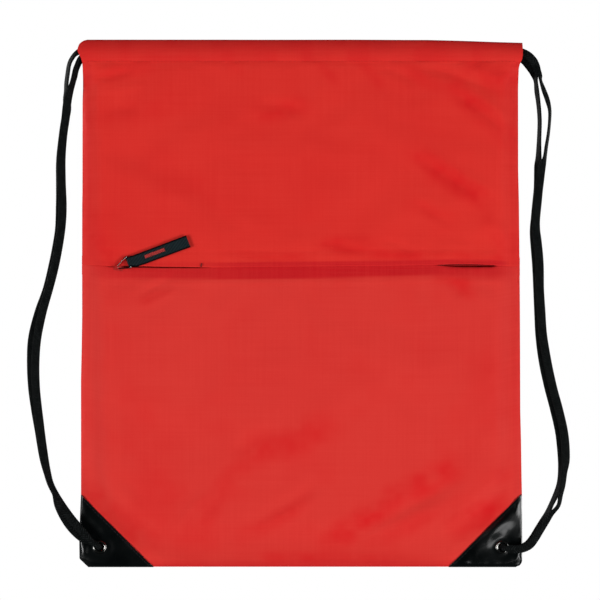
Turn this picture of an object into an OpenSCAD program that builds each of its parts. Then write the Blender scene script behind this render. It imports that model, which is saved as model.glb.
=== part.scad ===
// Drawstring backpack with a front zip pocket, lying open by the depth of a thin folder.
// X is the width, Z is the height, the front faces -Y, and the back lies in the plane y = 0.
// The bottom edge is at z = 0, and the bag is centred on x = 0.

/* [Bag] */
// Finished width of the bag across its side seams
body_w = 352; // [340:1:360]
// Finished height of the bag, bottom edge to top of casing
body_h = 420; // [410:1:430]
// Depth of the bag from back to front
body_d = 20; // [19:0.5:22]
// Thickness of one doubled and seamed fabric wall
wall = 0.8; // [0.6:0.1:0.9]
// Leg of each triangular corner patch
patch_leg = 58; // [50:1:62]

/* [Mouth casing] */
// Height of the casing that the cords run in
casing_h = 17.5; // [17:0.1:19]
// Thickness of each casing tube, front to back
casing_t = 5.4; // [5.2:0.1:5.6]

/* [Cords] */
// Width of the flat cord outside the casing
strap_w = 8; // [6:0.5:8]
// Width of the cord inside the casing
cord_w = 7; // [6:0.1:7]
// Thickness of the flat cord
cord_t = 1.8; // [1.4:0.1:1.8]

/* [Eyelets] */
// Distance of each eyelet from the middle of the bag
eyelet_x = 160.7; // [158:0.1:164]
// Height of each eyelet above the bottom edge
eyelet_z = 15.8; // [13:0.1:18]
// Bore radius of the eyelet barrel
eyelet_r = 3; // [2.8:0.1:3.2]
// Radius of the eyelet flange and washer
flange_r = 5.4; // [5:0.1:6]

/* [Zip pocket] */
// Height of the zip line above the bottom edge
zip_z = 239.4; // [230:0.5:250]
// Where the slider stands, from the middle of the bag, when the zip is closed
slider_x = -145; // [-146:0.5:-120]
// Tilt of the ribbon puller above the zip line
pull_tilt = 20.7; // [0:0.1:40]
// Length of the wire ring, bar to bar
ring_l = 9.3; // [8:0.1:11]
// Length from the slider's pivot to the end of the ribbon
tab_l = 59.4; // [50:0.1:65]
// Width of the ribbon puller
tab_w = 9.6; // [8:0.1:9.8]

/* [Hidden] */

// side is -1 for left and 1 for right throughout, and -1 for lower and 1 for upper in the zip.
left = -1;
right = 1;
lower = -1;
upper = 1;

gap = 0.1;                        // clearance that keeps neighbouring pieces apart
half_w = body_w / 2;
front_y = -body_d;
rim_y = -3;                       // front of the seamed edge all round the bag
top_z = body_h - casing_h;        // top of the panels, below the casing

red = [0.78, 0.13, 0.11];
black = [0.05, 0.05, 0.055];

// ---------- helpers ----------

function unit(v) = v / norm(v);

// 0 below start, 1 above end, and a smooth rise between
function ramp(x, start, end) =
  let (t = min(1, max(0, (x - start) / (end - start)))) t * t * (3 - 2 * t);

// point t of the way from b to c, on a smooth curve through a, b, c and d
function spline_at(a, b, c, d, t) =
  0.5 * (2 * b + (c - a) * t + (2 * a - 5 * b + 4 * c - d) * t * t
    + (3 * b - a - 3 * c + d) * t * t * t);

// smooth curve through the points, with a number of steps for each span
function spline(points, steps) =
  let (last = len(points) - 1)
  concat(
    [for (i = [0:last - 1], j = [0:steps - 1])
      spline_at(points[max(i - 1, 0)], points[i], points[i + 1],
        points[min(i + 2, last)], j / steps)],
    [points[last]]);

// points [x, z] given for the right side, mirrored for the left
function sided(side, points) = [for (p = points) [side * p[0], p[1]]];

// Flat ribbon swept along a path.
// wide is the direction its width keeps, or thick the direction its thickness keeps.
module ribbon(path, width, thickness, wide = undef, thick = undef) {
  last = len(path) - 1;
  along = [for (i = [0:last]) unit(path[min(i + 1, last)] - path[max(i - 1, 0)])];
  across = [for (dir = along)
    is_undef(wide) ? unit(cross(dir, thick)) : unit(wide - (wide * dir) * dir)];
  deep = [for (i = [0:last]) cross(across[i], along[i])];
  // four corners at each station
  points = [for (i = [0:last], corner = [[1, 1], [1, -1], [-1, -1], [-1, 1]])
    path[i] + across[i] * (width / 2 * corner[0]) + deep[i] * (thickness / 2 * corner[1])];
  sides = [for (i = [0:last - 1], k = [0:3], half = [0, 1])
    let (a = 4 * i + k, b = 4 * i + (k + 1) % 4)
    half == 0 ? [a, a + 4, b] : [b, a + 4, b + 4]];
  end = 4 * last;
  polyhedron(points, concat([[0, 1, 2], [0, 2, 3]], sides,
    [[end, end + 2, end + 1], [end, end + 3, end + 2]]));
}

// a flat outline drawn in X and Z, standing from y[0] back to y[1]
module upright(y)
  translate([0, y[1], 0]) rotate([90, 0, 0]) linear_extrude(y[1] - y[0]) children();

// a cylinder along Y from y[0] back to y[1]
module rod_y(x, z, r, y)
  translate([x, y[1], z]) rotate([90, 0, 0]) cylinder(h = y[1] - y[0], r = r, $fn = 48);

// a box between two limits on each axis, in either order
module block(x, y, z)
  translate([min(x), min(y), min(z)])
    cube([max(x) - min(x), max(y) - min(y), max(z) - min(z)]);

// ---------- bag shell ----------

rim_back_y = -1;                  // rear edge of the front shell
flat_z = 50;                      // lower edge of the flat front
flat_low_x = half_w - 40;         // half width of the flat front at its lower edge
flat_top_x = half_w - 2;          // half width of the flat front at the mouth
flat_t = 0.05;                    // thin slab that the hull reaches forward to
patch_clear = 0.3;                // panels cut back past the patch legs

slit_x = [slider_x - 3, 152];
slit_h = 2.4;

// seamed outline with its two lower corners cut away
module outline(inset, top) {
  // 0.414 keeps the sloping cut inset by the same distance as the straight edges
  leg = patch_leg + patch_clear + inset * 0.414;
  edge = half_w - inset;
  polygon([[-edge, leg], [-half_w + leg, inset], [half_w - leg, inset],
    [edge, leg], [edge, top], [-edge, top]]);
}

// solid from the rim forward to the smaller flat front
module front_bulk(inset, top) {
  low_x = flat_low_x - inset / 2;
  top_x = flat_top_x - inset / 2;
  low_z = flat_z + inset / 2;
  hull() {
    upright([rim_y + inset, rim_back_y + inset]) outline(inset, top);
    upright([front_y + inset, front_y + inset + flat_t])
      polygon([[-low_x, low_z], [low_x, low_z], [top_x, top], [-top_x, top]]);
  }
}

module front_shell() {
  difference() {
    front_bulk(0, top_z);
    front_bulk(wall, top_z + 1);
  }
}

module slit()
  block(slit_x, [front_y - 1, front_y + 5], [zip_z - slit_h / 2, zip_z + slit_h / 2]);

// the part of the slit front shell within the heights z
module front_panel(z) {
  color(red) intersection() {
    difference() {
      front_shell();
      slit();
    }
    block([-half_w - 1, half_w + 1], [front_y - 1, 0], z);
  }
}
module front_upper_panel() { front_panel([zip_z + gap, body_h]); }
module front_lower_panel() { front_panel([-1, zip_z - gap]); }

module back_panel() {
  color(red) upright([-wall, 0]) outline(0, top_z);
}

lining_x = 140;                   // half width of the pocket lining
lining_top = 254;
lining_y = front_y + 7;
lining_t = 0.6;

// rear wall of the zip pocket, turned forward along its top to just behind the front wall
module pocket_lining() {
  color(red * 0.8) {
    upright([lining_y, lining_y + lining_t])
      polygon([[-lining_x, lining_top], [lining_x, lining_top], [lining_x, 80],
        [100, 40], [-100, 40], [-lining_x, 80]]);
    block([-lining_x, lining_x], [front_y + 0.95, lining_y + 0.01],
      [lining_top - lining_t, lining_top]);
  }
}

// tube open at both ends, from y[0] back to y[1]
module casing(y) {
  color(red * 0.92) difference() {
    block([-half_w, half_w], y, [top_z + gap, body_h]);
    block([-half_w - 1, half_w + 1], [y[0] + wall, y[1] - wall], [top_z + wall, body_h - 0.9]);
  }
}
module front_casing() { casing([front_y, front_y + casing_t]); }
module back_casing() { casing([-casing_t, 0]); }

seam_edge = 1;                    // from the edge of the bag to the seam
seam_w = 5;
seam_y = [-1.9, -0.95];

module side_seam(side) {
  outer = half_w - seam_edge;
  color(red * 0.7)
    block([side * (outer - seam_w), side * outer], seam_y, [patch_leg + 10, top_z - 4]);
}
module side_seam_left() { side_seam(left); }
module side_seam_right() { side_seam(right); }

module bottom_seam() {
  end_x = half_w - patch_leg - 8;
  color(red * 0.7) block([-end_x, end_x], seam_y, [seam_edge, seam_edge + seam_w]);
}

// ---------- corner patches and eyelets ----------

patch_y = rim_y - 1;              // front face of the front patches
patch_t = 0.8;
flange_t = 0.5;
barrel_r = eyelet_r + 0.6;
barrel_back_y = 0.6;              // rear end of the barrel and of the washer

module eyelet_rod(side, r, y) rod_y(side * eyelet_x, eyelet_z, r, y);
module patch_hole(side, y) eyelet_rod(side, barrel_r + 0.1, y);

// triangle with its outer corner blunted, a little more on the left
module patch_outline(side) {
  blunt = side < 0 ? 5 : 3;
  polygon(sided(side, [[half_w - patch_leg, 0], [half_w - blunt, 0],
    [half_w, blunt], [half_w, patch_leg]]));
}

module corner_patch_front(side) {
  inner = half_w - patch_leg - 2;
  outer = half_w - patch_t;
  top = patch_leg + 2;
  color(black) difference() {
    union() {
      upright([patch_y, patch_y + patch_t]) patch_outline(side);
      // edges turned back towards the rear patch
      upright([rim_y - 0.3, -0.9]) difference() {
        patch_outline(side);
        polygon(sided(side, [[inner, patch_t], [half_w - 6, patch_t],
          [outer, 6], [outer, top], [inner, top]]));
      }
    }
    patch_hole(side, [rim_y - 3, 1]);
  }
}
module corner_patch_front_left() { corner_patch_front(left); }
module corner_patch_front_right() { corner_patch_front(right); }

module corner_patch_back(side) {
  color(black) difference() {
    upright([-wall, 0]) patch_outline(side);
    patch_hole(side, [-2, 1]);
  }
}
module corner_patch_back_left() { corner_patch_back(left); }
module corner_patch_back_right() { corner_patch_back(right); }

// flange in front and barrel through both patches
module eyelet(side) {
  flange_y = patch_y - flange_t;
  color("silver") difference() {
    union() {
      eyelet_rod(side, flange_r, [flange_y, patch_y]);
      eyelet_rod(side, barrel_r, [flange_y, barrel_back_y]);
    }
    eyelet_rod(side, eyelet_r, [rim_y - 3, 2]);
  }
}
module eyelet_left() { eyelet(left); }
module eyelet_right() { eyelet(right); }

// ring round the rear end of the barrel
module eyelet_washer(side) {
  color("silver") difference() {
    eyelet_rod(side, flange_r, [0.02, barrel_back_y]);
    eyelet_rod(side, barrel_r + 0.05, [-1, 2]);
  }
}
module eyelet_washer_left() { eyelet_washer(left); }
module eyelet_washer_right() { eyelet_washer(right); }

// ---------- cords ----------

run_front_y = front_y + casing_t / 2;
run_back_y = -casing_t / 2;
mid_y = (run_front_y + run_back_y) / 2;
lane_up = body_h - 5;             // heights of the two cords inside the casings
lane_low = body_h - 12.6;
run_out = 2;                      // how far a run's ends stand out of the casings

// out along the front casing at front_z, round the far end and home along the back at back_z
function run_path(far, front_z, back_z) = concat(
  [[-far * (half_w + run_out), run_front_y, front_z], [far * (half_w - 1), run_front_y, front_z]],
  [for (a = [0:15:180]) [
    far * (half_w + 3 * sin(a)),
    mid_y - (mid_y - run_front_y) * cos(a),
    front_z + (back_z - front_z) * ramp(a, 40, 140)]],
  [[far * (half_w - 1), run_back_y, back_z], [-far * (half_w + run_out), run_back_y, back_z]]);

// side is where the cord leaves the casings
module cord_run(side, front_z, back_z) {
  color(black) ribbon(run_path(-side, front_z, back_z), cord_w, cord_t, wide = [0, 0, 1]);
}
module left_cord_run() { cord_run(left, lane_low, lane_up); }
module right_cord_run() { cord_run(right, lane_up, lane_low); }

// A strand leaves the casing at run_y, hangs at hang_y below shoulder height,
// and moves back a little near the eyelet.
function strand_y(z, run_y, hang_y) =
  run_y + (hang_y - run_y) * (1 - ramp(z, 330, 400)) + 2.6 * (1 - ramp(z, 40, 80));

// The strands beside the bag as [x, z], from the casing down. Each side has a front and
// a back strand at the top, and both follow one hang from shoulder height to the eyelet.
left_front_top = [[-182.4, 405.6], [-184, 401.6], [-184.4, 395], [-185.2, 380]];
left_back_top = [[-184, 412.8], [-186.4, 408.6], [-186.9, 402], [-186.6, 380]];
left_hang = [
  [-188.5, 352], [-191.3, 312], [-191.5, 278], [-197, 240], [-207.5, 202], [-213.4, 164],
  [-210.8, 126], [-205, 88], [-196, 57], [-184, 36], [-173, 23.5], [-164.2, 17.2]];

right_front_top = [[184, 412.8], [187.4, 408.6], [189.2, 401], [193.5, 376], [195.5, 352]];
right_back_top = [[182.4, 405.6], [184.4, 401.6], [185.6, 395], [188.2, 376], [190.5, 352]];
right_hang = [
  [191.5, 326], [188.5, 298], [186.8, 269], [188.9, 240], [190.1, 202], [194.5, 164],
  [203.7, 126], [209, 88], [206.5, 56], [196, 35], [180, 22.5], [164.2, 16.8]];

// one strand, starting just clear of the end of its run in the casing
module strand(side, lane, top, hang, run_y, hang_y) {
  start = sided(side, [[half_w + run_out + 0.3, lane], [half_w + 3.4, lane]]);
  path = [for (p = spline(concat(start, top, hang), 3))
    [p[0], strand_y(p[1], run_y, hang_y), p[1]]];
  ribbon(path, strap_w, cord_t, thick = [0, 1, 0]);
}
module front_strand(side, lane, top, hang)
  strand(side, lane, top, hang, run_front_y, mid_y - 1.2);
module back_strand(side, lane, top, hang)
  strand(side, lane, top, hang, run_back_y, mid_y + 1.2);

module left_strap() {
  color(black) {
    front_strand(left, lane_low, left_front_top, left_hang);
    back_strand(left, lane_up, left_back_top, left_hang);
  }
}
module right_strap() {
  color(black) {
    front_strand(right, lane_up, right_front_top, right_hang);
    back_strand(right, lane_low, right_back_top, right_hang);
  }
}

// [x, length] of the two cord ends below each knot
knot_tails = [[1.9, 14], [-1.9, 12]];

// fixed end of a cord: a rod through the eyelet, a stopper knot behind it and two tails
module cord_knot(side) {
  color(black) {
    eyelet_rod(side, eyelet_r - 0.4, [mid_y + 0.4, 5]);
    translate([side * eyelet_x, 5.1, eyelet_z]) sphere(r = 4.3, $fn = 32);
    translate([side * eyelet_x, 5.6, eyelet_z]) rotate([0, 20 * side, 0])
      for (tail = knot_tails)
        translate([tail[0], 0, -tail[1]]) cylinder(h = tail[1], r = 1.7, $fn = 24);
  }
}
module left_cord_knot() { cord_knot(left); }
module right_cord_knot() { cord_knot(right); }

// ---------- zip ----------

tape_y = front_y + 2;             // front face of the zip tapes
tape_t = 0.6;
pivot_y = front_y - 1.4;          // axis that the puller turns on

// a strip between two distances from the zip line
module zip_strip(side, x, y, from_line) block(x, y, zip_z + side * from_line);
function operator_free_pair(a, b) = [a, b];

module zip_tape(side) {
  color(red * 0.85) block([-154, 154], [tape_y, tape_y + tape_t],
    [zip_z + side * 0.9, zip_z + side * 12.9]);
}
module zip_tape_upper() { zip_tape(upper); }
module zip_tape_lower() { zip_tape(lower); }

module zip_coil(side) {
  color(red * 0.75) block([-150, 148.5], [tape_y + tape_t + 0.05, tape_y + 2.6],
    [zip_z + side * 0.8, zip_z + side * 2.5]);
}
module zip_coil_upper() { zip_coil(upper); }
module zip_coil_lower() { zip_coil(lower); }

// thread tacks across both ends of the zip
module zip_tacks() {
  color(red * 0.6)
    for (x = [[-153, -150.4], [149.4, 151.8]])
      block(x, [tape_y - 0.9, tape_y - 0.05], [zip_z - 3.2, zip_z + 3.2]);
}

// a box centred on the slider in X and Z
module slider_block(half_x, y, half_z)
  block([slider_x - half_x, slider_x + half_x], y, [zip_z - half_z, zip_z + half_z]);

// a plate with rounded ends, along X
module slider_plate(y) {
  intersection() {
    slider_block(4, y, 3.4);
    rod_y(slider_x, zip_z, 4.6, y);
  }
}

// front and rear plates, the post between them and the bored lug in front
module slider_body() {
  color(red * 0.9) {
    slider_plate([tape_y - 1.05, tape_y - 0.15]);
    slider_plate([tape_y + 2.7, tape_y + 3.6]);
    slider_block(1.5, [tape_y - 0.2, tape_y + 2.75], 0.6);
    difference() {
      slider_block(2.2, [pivot_y - 1.7, tape_y - 1], 0.6);
      translate([slider_x, pivot_y, zip_z - 2]) cylinder(h = 4, r = 1.1, $fn = 48);
    }
  }
}

// ---------- puller ----------

wire_r = 0.55;
// corners of the ring as [x, z] in the puller's frame, narrow end at the pivot
ring_corners = [[0, -1.9], [0, 1.9], [ring_l, 6], [ring_l, -6]];

// the puller's own frame: X runs along the ribbon, Z across it
module along_pull()
  translate([slider_x, pivot_y, zip_z]) rotate([0, -pull_tilt, 0]) children();

// wire between two [x, z] points, with a ball at its end
module wire(start, end) {
  span = end - start;
  translate([start[0], 0, start[1]]) rotate([0, atan2(span[0], span[1]), 0])
    cylinder(h = norm(span), r = wire_r, $fn = 32);
  translate([end[0], 0, end[1]]) sphere(r = wire_r + 0.07, $fn = 32);
}

module pull_ring() {
  color("silver") along_pull()
    for (i = [0:3]) wire(ring_corners[i], ring_corners[(i + 1) % 4]);
}

// ribbon with a bored roll round the far bar of the ring
module pull_tab() {
  color(black) along_pull() difference() {
    union() {
      translate([ring_l, 0, -tab_w / 2]) cylinder(h = tab_w, r = 1.2, $fn = 48);
      block([ring_l, tab_l], [-0.8, 0.8], [-tab_w / 2, tab_w / 2]);
    }
    translate([ring_l, 0, -tab_w]) cylinder(h = 2 * tab_w, r = 0.7, $fn = 48);
  }
}

// plain bar tack on the front of the ribbon
module pull_tab_stitch() {
  color(red) along_pull() block([22.6, 39.5], [-1.0, -0.82], [-1.5, 1.5]);
}

back_panel();
front_upper_panel();
front_lower_panel();
pocket_lining();
front_casing();
back_casing();
side_seam_left();
side_seam_right();
bottom_seam();
corner_patch_front_left();
corner_patch_front_right();
corner_patch_back_left();
corner_patch_back_right();
eyelet_left();
eyelet_right();
eyelet_washer_left();
eyelet_washer_right();
left_cord_run();
left_strap();
left_cord_knot();
right_cord_run();
right_strap();
right_cord_knot();
zip_tape_upper();
zip_tape_lower();
zip_coil_upper();
zip_coil_lower();
zip_tacks();
slider_body();
pull_ring();
pull_tab();
pull_tab_stitch();
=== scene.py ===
"""A red drawstring bag with a zipped front pocket, black corner patches and two black cords.

The bag hangs upright and flat: x runs across it (left is negative), z runs up from its bottom
edge, and its front faces -y. The back lies near y = 0 and the front near y = -DEPTH.
Shapes are worked in millimetres and turned to metres in add_mesh. Materials work in metres.
"""
import math
import bmesh
import bpy
import numpy as np
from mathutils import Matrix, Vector


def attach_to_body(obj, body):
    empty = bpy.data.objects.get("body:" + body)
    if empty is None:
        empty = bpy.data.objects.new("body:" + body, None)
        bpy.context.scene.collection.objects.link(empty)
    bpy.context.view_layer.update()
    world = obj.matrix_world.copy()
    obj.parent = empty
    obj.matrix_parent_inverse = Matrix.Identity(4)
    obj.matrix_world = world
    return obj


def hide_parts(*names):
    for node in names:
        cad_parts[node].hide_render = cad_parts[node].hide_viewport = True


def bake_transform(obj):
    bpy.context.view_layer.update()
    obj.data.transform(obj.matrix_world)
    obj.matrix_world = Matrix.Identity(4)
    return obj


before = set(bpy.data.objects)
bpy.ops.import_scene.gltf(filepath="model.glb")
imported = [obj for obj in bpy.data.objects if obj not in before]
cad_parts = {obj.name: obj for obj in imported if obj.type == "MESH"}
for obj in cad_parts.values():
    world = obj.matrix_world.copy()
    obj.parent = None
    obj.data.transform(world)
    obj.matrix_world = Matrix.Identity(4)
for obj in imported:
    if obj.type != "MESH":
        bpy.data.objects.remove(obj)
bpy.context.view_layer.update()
MM = 0.001
SIDES = ((-1, "left"), (1, "right"))

# ---------------------------------------------------------------- dimensions, millimetres
HALF_WIDTH = 176.0
DEPTH = 20.0         # from the back plane to the front
STITCH_Z = 402.8     # casing stitch line
CASING_FROM = 402.6  # profile heights above this belong to the casing
TOP_Z = 420.2
ZIP_Z = 239.4
PATCH_LEG = 58.0     # corner patch, along the side and along the bottom
PATCH_TOE = HALF_WIDTH - PATCH_LEG   # where the patch's long edge meets the bottom
EYE_X, EYE_Z = 160.7, 15.8
CLOTH = 0.34         # thickness of the shell fabric
STEP = 1.6         # mesh spacing of the shell

# the zip pull turns about PIVOT and hangs along a tilted line
PIVOT = np.array([-145.0, -21.4, ZIP_Z])
TILT = math.radians(20.7)
ALONG = np.array([math.cos(TILT), 0, math.sin(TILT)])
ACROSS = np.array([-math.sin(TILT), 0, math.cos(TILT)])
FORWARD = np.array([0, -1.0, 0])

# flat braided cord
CORD_HALF_W, CORD_HALF_T = 3.35, 0.78
STRAND_PITCH = 2.05  # along the cord, from one slanting strand to the next
STRAND_SLANT = 2.3   # across the cord, for the same step
RIB_PITCH = 1.12     # cross ribs of the pull's ribbon

# half widths of the bag: height, distance from the middle
LEFT_EDGE = [
    (0, 170.2), (0.8, 171.2), (6.4, 177.0), (21.5, 177.2), (40, 176.6), (58, 175.8), (150, 175.6),
    (173, 175.0), (200, 174.5), (290, 174.4), (300, 174.2), (372, 174.1), (390, 173.5),
    (399, 173.5), (402.5, 173.8), (405.7, 174.9), (408.9, 176.5), (411, 177.5), (413, 177.4),
    (415, 176.8), (416.7, 176.1), (418.3, 174.4), (419.4, 172.6), (420.1, 170.2), (421, 168.7)]
RIGHT_EDGE = [
    (0, 172.0), (1.0, 174.6), (2.4, 175.9), (4.5, 176.7), (20, 176.9), (57, 176.6), (70, 176.3),
    (100, 175.8), (125, 175.1), (200, 174.6), (220, 174.4), (290, 173.7), (317, 173.1),
    (397, 173.0), (400, 173.6), (402.5, 174.7), (404.9, 175.6), (409, 176.0), (414, 176.1),
    (421, 176.0)]


def ramp(value, start, end):
    """Smooth step from 0 at start to 1 at end."""
    part = np.clip((np.asarray(value, float) - start) / (end - start), 0, 1)
    return part * part * (3 - 2 * part)


def bell(distance, width):
    return np.exp(-(distance / width) ** 2)


def swell(distance, width, power):
    """0 to 1 over width, steep at first and levelling off."""
    return 1 - (1 - np.clip(distance / width, 0, 1)) ** power


def edge_left(z):
    return np.interp(z, *zip(*LEFT_EDGE))


def edge_right(z):
    return np.interp(z, *zip(*RIGHT_EDGE))


def inward(x, z):
    """Distance in from the side edge."""
    return np.where(x < 0, edge_left(z), edge_right(z)) - np.abs(x)


def top_z(x):
    return np.interp(x, [-180, 40, 100, 140, 177], [420.2, 420.2, 419.8, 418.8, 417.7])


def zip_line(x):
    return ZIP_Z + np.interp(x, [-174, -150, -110, -60, 0, 70, 110, 154, 174],
                             [1.6, 0.5, -0.2, -0.6, 0.1, 0.7, 1.5, 0.9, 0.2])


def eye_distance(x, z):
    return np.hypot(np.abs(x) - EYE_X, z - EYE_Z)


def noise(x, z, scale, seed):
    """Smooth seeded noise between -1 and 1, on a lattice of the given spacing."""
    grid = np.random.default_rng(seed).uniform(-1, 1, (64, 64))

    def cell(value):
        at = np.asarray(value, float) / scale + 1000.5
        low = np.floor(at).astype(int)
        part = at - low
        return low, part * part * part * (part * (part * 6 - 15) + 10)

    i, part_x = cell(x)
    j, part_z = cell(z)
    low = grid[i % 64, j % 64] * (1 - part_x) + grid[(i + 1) % 64, j % 64] * part_x
    high = grid[i % 64, (j + 1) % 64] * (1 - part_x) + grid[(i + 1) % 64, (j + 1) % 64] * part_x
    return low * (1 - part_z) + high * part_z


# ---------------------------------------------------------------- bag surface
def seam_depth(z):
    return 1.5 + 7.5 * ramp(z, 40, 260)


def inside_patch(x, z):
    """Distance into the open fabric from the patch's long edge; negative on the patch."""
    return (z - (np.abs(x) - PATCH_TOE)) / math.sqrt(2)


def depth_front(x, z):
    """Smooth depth of the front, forward of the back plane."""
    margin = 31 - 14 * np.clip((z - 50) / 350, 0, 1)
    rim = seam_depth(z)
    rim = rim + (18.9 - rim) * ramp(z, 379, 402.5)
    depth = rim + (DEPTH - rim) * swell(inward(x, z), margin, 2.3)
    depth = 1.3 + (depth - 1.3) * swell(z, 48, 2.3)
    # the patches hold the corners flat
    flat = (3.5 - 1.2 * np.exp(-np.maximum(inward(x, z), 0) / 4.5)
            - 1.4 * np.exp(-np.maximum(z, 0) / 2.6))
    flat = np.minimum(flat, depth)
    return flat + (depth - flat) * swell(inside_patch(x, z), 27, 2.0)


def depth_back(x, z):
    part = np.clip(inward(x, z) / 15, 0, 1)
    rim = seam_depth(z) - 0.15
    rim = rim + (0.9 - rim) * ramp(z, 387, 402.5)
    depth = rim * (1 - part) ** 2.6
    return 1.1 + (depth - 1.1) * swell(z, 9, 2)


# soft folds: from x, z to x, z, width, height (outward is positive)
FRONT_FOLDS = [
    (83, 331, 150, 287, 5.0, -1.4), (95, 336, 162, 296, 5.5, 0.8), (86, 292, 124, 270, 4.5, -0.9),
    (114, 383, 167, 342, 4.5, -1.4), (124, 385, 171, 352, 4.5, 0.8), (78, 402, 168, 374, 4.0, -0.9),
    (128, 401, 170, 387, 3.5, 0.7), (58, 400, 96, 384, 4.0, -0.7), (-168, 388, -130, 397, 3.5, -1.0),
    (-166, 395, -136, 400, 3.0, 0.6), (-165, 361, -122, 367, 5.0, -0.8),
    (-160, 376, -118, 384, 4.5, 0.6), (-40, 369, 8, 362, 5.5, -1.1), (-150, 318, -112, 330, 7.0, -0.5),
    (-128, 300, -84, 290, 8.0, 0.5), (14, 258, 56, 250, 4.0, -1.0), (60, 262, 92, 250, 4.0, -0.7),
    (-60, 262, 0, 256, 9.0, -0.5), (112, 264, 168, 250, 6.0, -0.6), (140, 277, 172, 262, 5.0, 0.6),
    (-134, 213, -98, 232, 3.5, -1.2), (-130, 206, -94, 225, 3.5, 0.8),
    (-168, 232, -120, 227, 4.0, -0.6), (116, 234, 128, 214, 4.0, -0.9), (128, 230, 152, 206, 4.5, 0.6),
    (-62, 86, -10, 116, 7.0, -1.0), (-118, 96, -84, 112, 8.0, -0.5), (-54, 31, 22, 73, 6.0, -1.1),
    (-46, 22, 26, 62, 6.0, 0.7), (26, 23, 140, 81, 6.5, -1.6), (34, 12, 126, 58, 6.0, 1.0),
    (122, 38, 164, 68, 5.0, -1.4), (132, 104, 172, 74, 9.0, -0.8), (-102, 26, -70, 66, 4.5, 0.9),
    (-92, 22, -62, 60, 4.5, -0.8), (-150, 78, -120, 50, 6.0, -0.8), (60, 140, 120, 116, 16.0, -0.5),
    (-150, 180, -120, 130, 16.0, -0.4)]
BACK_FOLDS = [
    (-150, 390, -60, 330, 10.0, 0.5), (40, 395, 120, 350, 9.0, -0.5),
    (-140, 250, -40, 200, 16.0, -0.5), (30, 240, 140, 180, 15.0, 0.5),
    (-100, 120, 20, 60, 18.0, 0.5), (70, 90, 150, 40, 10.0, -0.6), (-160, 60, -110, 30, 8.0, 0.5)]

# painted shade along the creases: smudges of deeper red beside the folds, from x, z to x, z,
# width, amount
FRONT_CREASE_SHADE = [
    (-170, 388, -120, 399, 4.5, 0.5), (-168, 358, -92, 367, 5.5, 0.35), (-32, 363, 4, 367, 5.5, 0.85),
    (88, 333, 148, 288, 5.5, 0.85), (86, 290, 120, 276, 4.0, 0.4), (117, 388, 168, 336, 5.5, 0.85),
    (82, 399, 120, 377, 4.0, 0.5), (132, 403, 172, 380, 6.0, 0.7), (14, 403, 28, 385, 2.6, 0.4),
    (46, 403, 68, 381, 3.0, 0.5), (-60, 403, -44, 390, 3.0, 0.3), (-170, 274, -154, 248, 8.0, 0.5),
    (16, 257, 54, 257, 4.6, 0.85), (50, 251, 100, 248, 2.6, 0.6), (98, 249, 172, 245, 2.6, 0.6),
    (144, 281, 172, 248, 6.5, 0.45), (-60, 250, 20, 246, 2.4, 0.45), (-110, 318, -70, 298, 9.0, 0.2),
    (112, 236, 136, 222, 5.0, 0.75), (-126, 212, -102, 225, 3.0, 0.5), (-48, 89, 22, 111, 8.0, 0.65),
    (-80, 44, -36, 93, 6.0, 0.5), (-86, 20, -66, 54, 5.0, 0.5), (-50, 23, 6, 53, 4.2, 0.5),
    (24, 21, 86, 65, 6.5, 0.9), (80, 61, 122, 80, 7.0, 0.8), (50, 18, 140, 61, 4.2, 0.4),
    (122, 31, 168, 53, 7.0, 0.95), (144, 70, 172, 80, 5.0, 0.4), (-172, 60, -118, 14, 8.0, 0.6),
    (-120, 66, -76, 24, 14.0, 0.3), (-40, 8, 86, 6, 3.4, 0.5), (-160, 150, -130, 90, 18.0, 0.2),
    (130, 170, 160, 110, 16.0, 0.15)]


def stroke_frame(x, z, x0, z0, x1, z1):
    """Distances along and aside of the line from x0, z0 to x1, z1, and the line's length."""
    run, rise = x1 - x0, z1 - z0
    length = math.hypot(run, rise)
    along = ((x - x0) * run + (z - z0) * rise) / length
    aside = (-(x - x0) * rise + (z - z0) * run) / length
    return along, aside, length


def crease_shade(x, z):
    """0 to 1: painted crease shade, in smudges with ragged edges beside the folds, with some random
    tone.
    """
    deep = 0.0
    ragged = 0.40 * noise(x, z, 11, 171) + 0.25 * noise(x, z, 5, 172)
    for *ends, width, amount in FRONT_CREASE_SHADE:
        along, aside, length = stroke_frame(x, z, *ends)
        aside = aside + 2.2 * noise(along, 0, 14, 173) * min(1, width / 6)
        beyond = np.maximum(np.maximum(-along, along - length) + 0.25 * length, 0)
        beyond = beyond / (0.25 * length + width)
        spread = (aside / (1.75 * width)) ** 2
        fade = np.exp(-0.6 * spread - 0.6 * spread ** 2 - 1.4 * beyond ** 2)
        deep = np.maximum(deep, 0.62 * amount * fade * (1 + 1.3 * ragged))
    deep = deep + 0.09 * noise(x, z, 34, 174) + 0.08 * noise(x, z, 13, 175)
    return np.clip(deep, 0, 1)


def folds(x, z, table):
    height = 0.0
    for x0, z0, x1, z1, width, amount in table:
        along, aside, length = stroke_frame(x, z, x0, z0, x1, z1)
        turn = 1 if (x0 + z1) % 2 < 1 else -1
        bend = 0.035 * length * np.sin(math.pi * np.clip(along / length, 0, 1)) * turn
        taper = 0.35 * length
        fade = np.clip(along / taper, 0, 1) * np.clip((length - along) / taper, 0, 1)
        height = height + amount * ramp(fade, 0, 1) * bell(aside - bend, width)
    return height


# ---------------------------------------------------------------- cloth wrinkles
SIM_STEP = 4.0
SIM_Z = np.arange(0, 404.1, SIM_STEP)
SIM_COLUMNS = 89
SIM_SCALE = 10 * MM      # the cloth is worked at 10 times life size, where the solver is steadier
SIM_FRAMES = 24


def sim_grid():
    share = np.linspace(-1, 1, SIM_COLUMNS)[None, :]
    z = np.repeat(SIM_Z[:, None], SIM_COLUMNS, 1)
    return np.where(share < 0, share * edge_left(z), share * edge_right(z)), z


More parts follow.
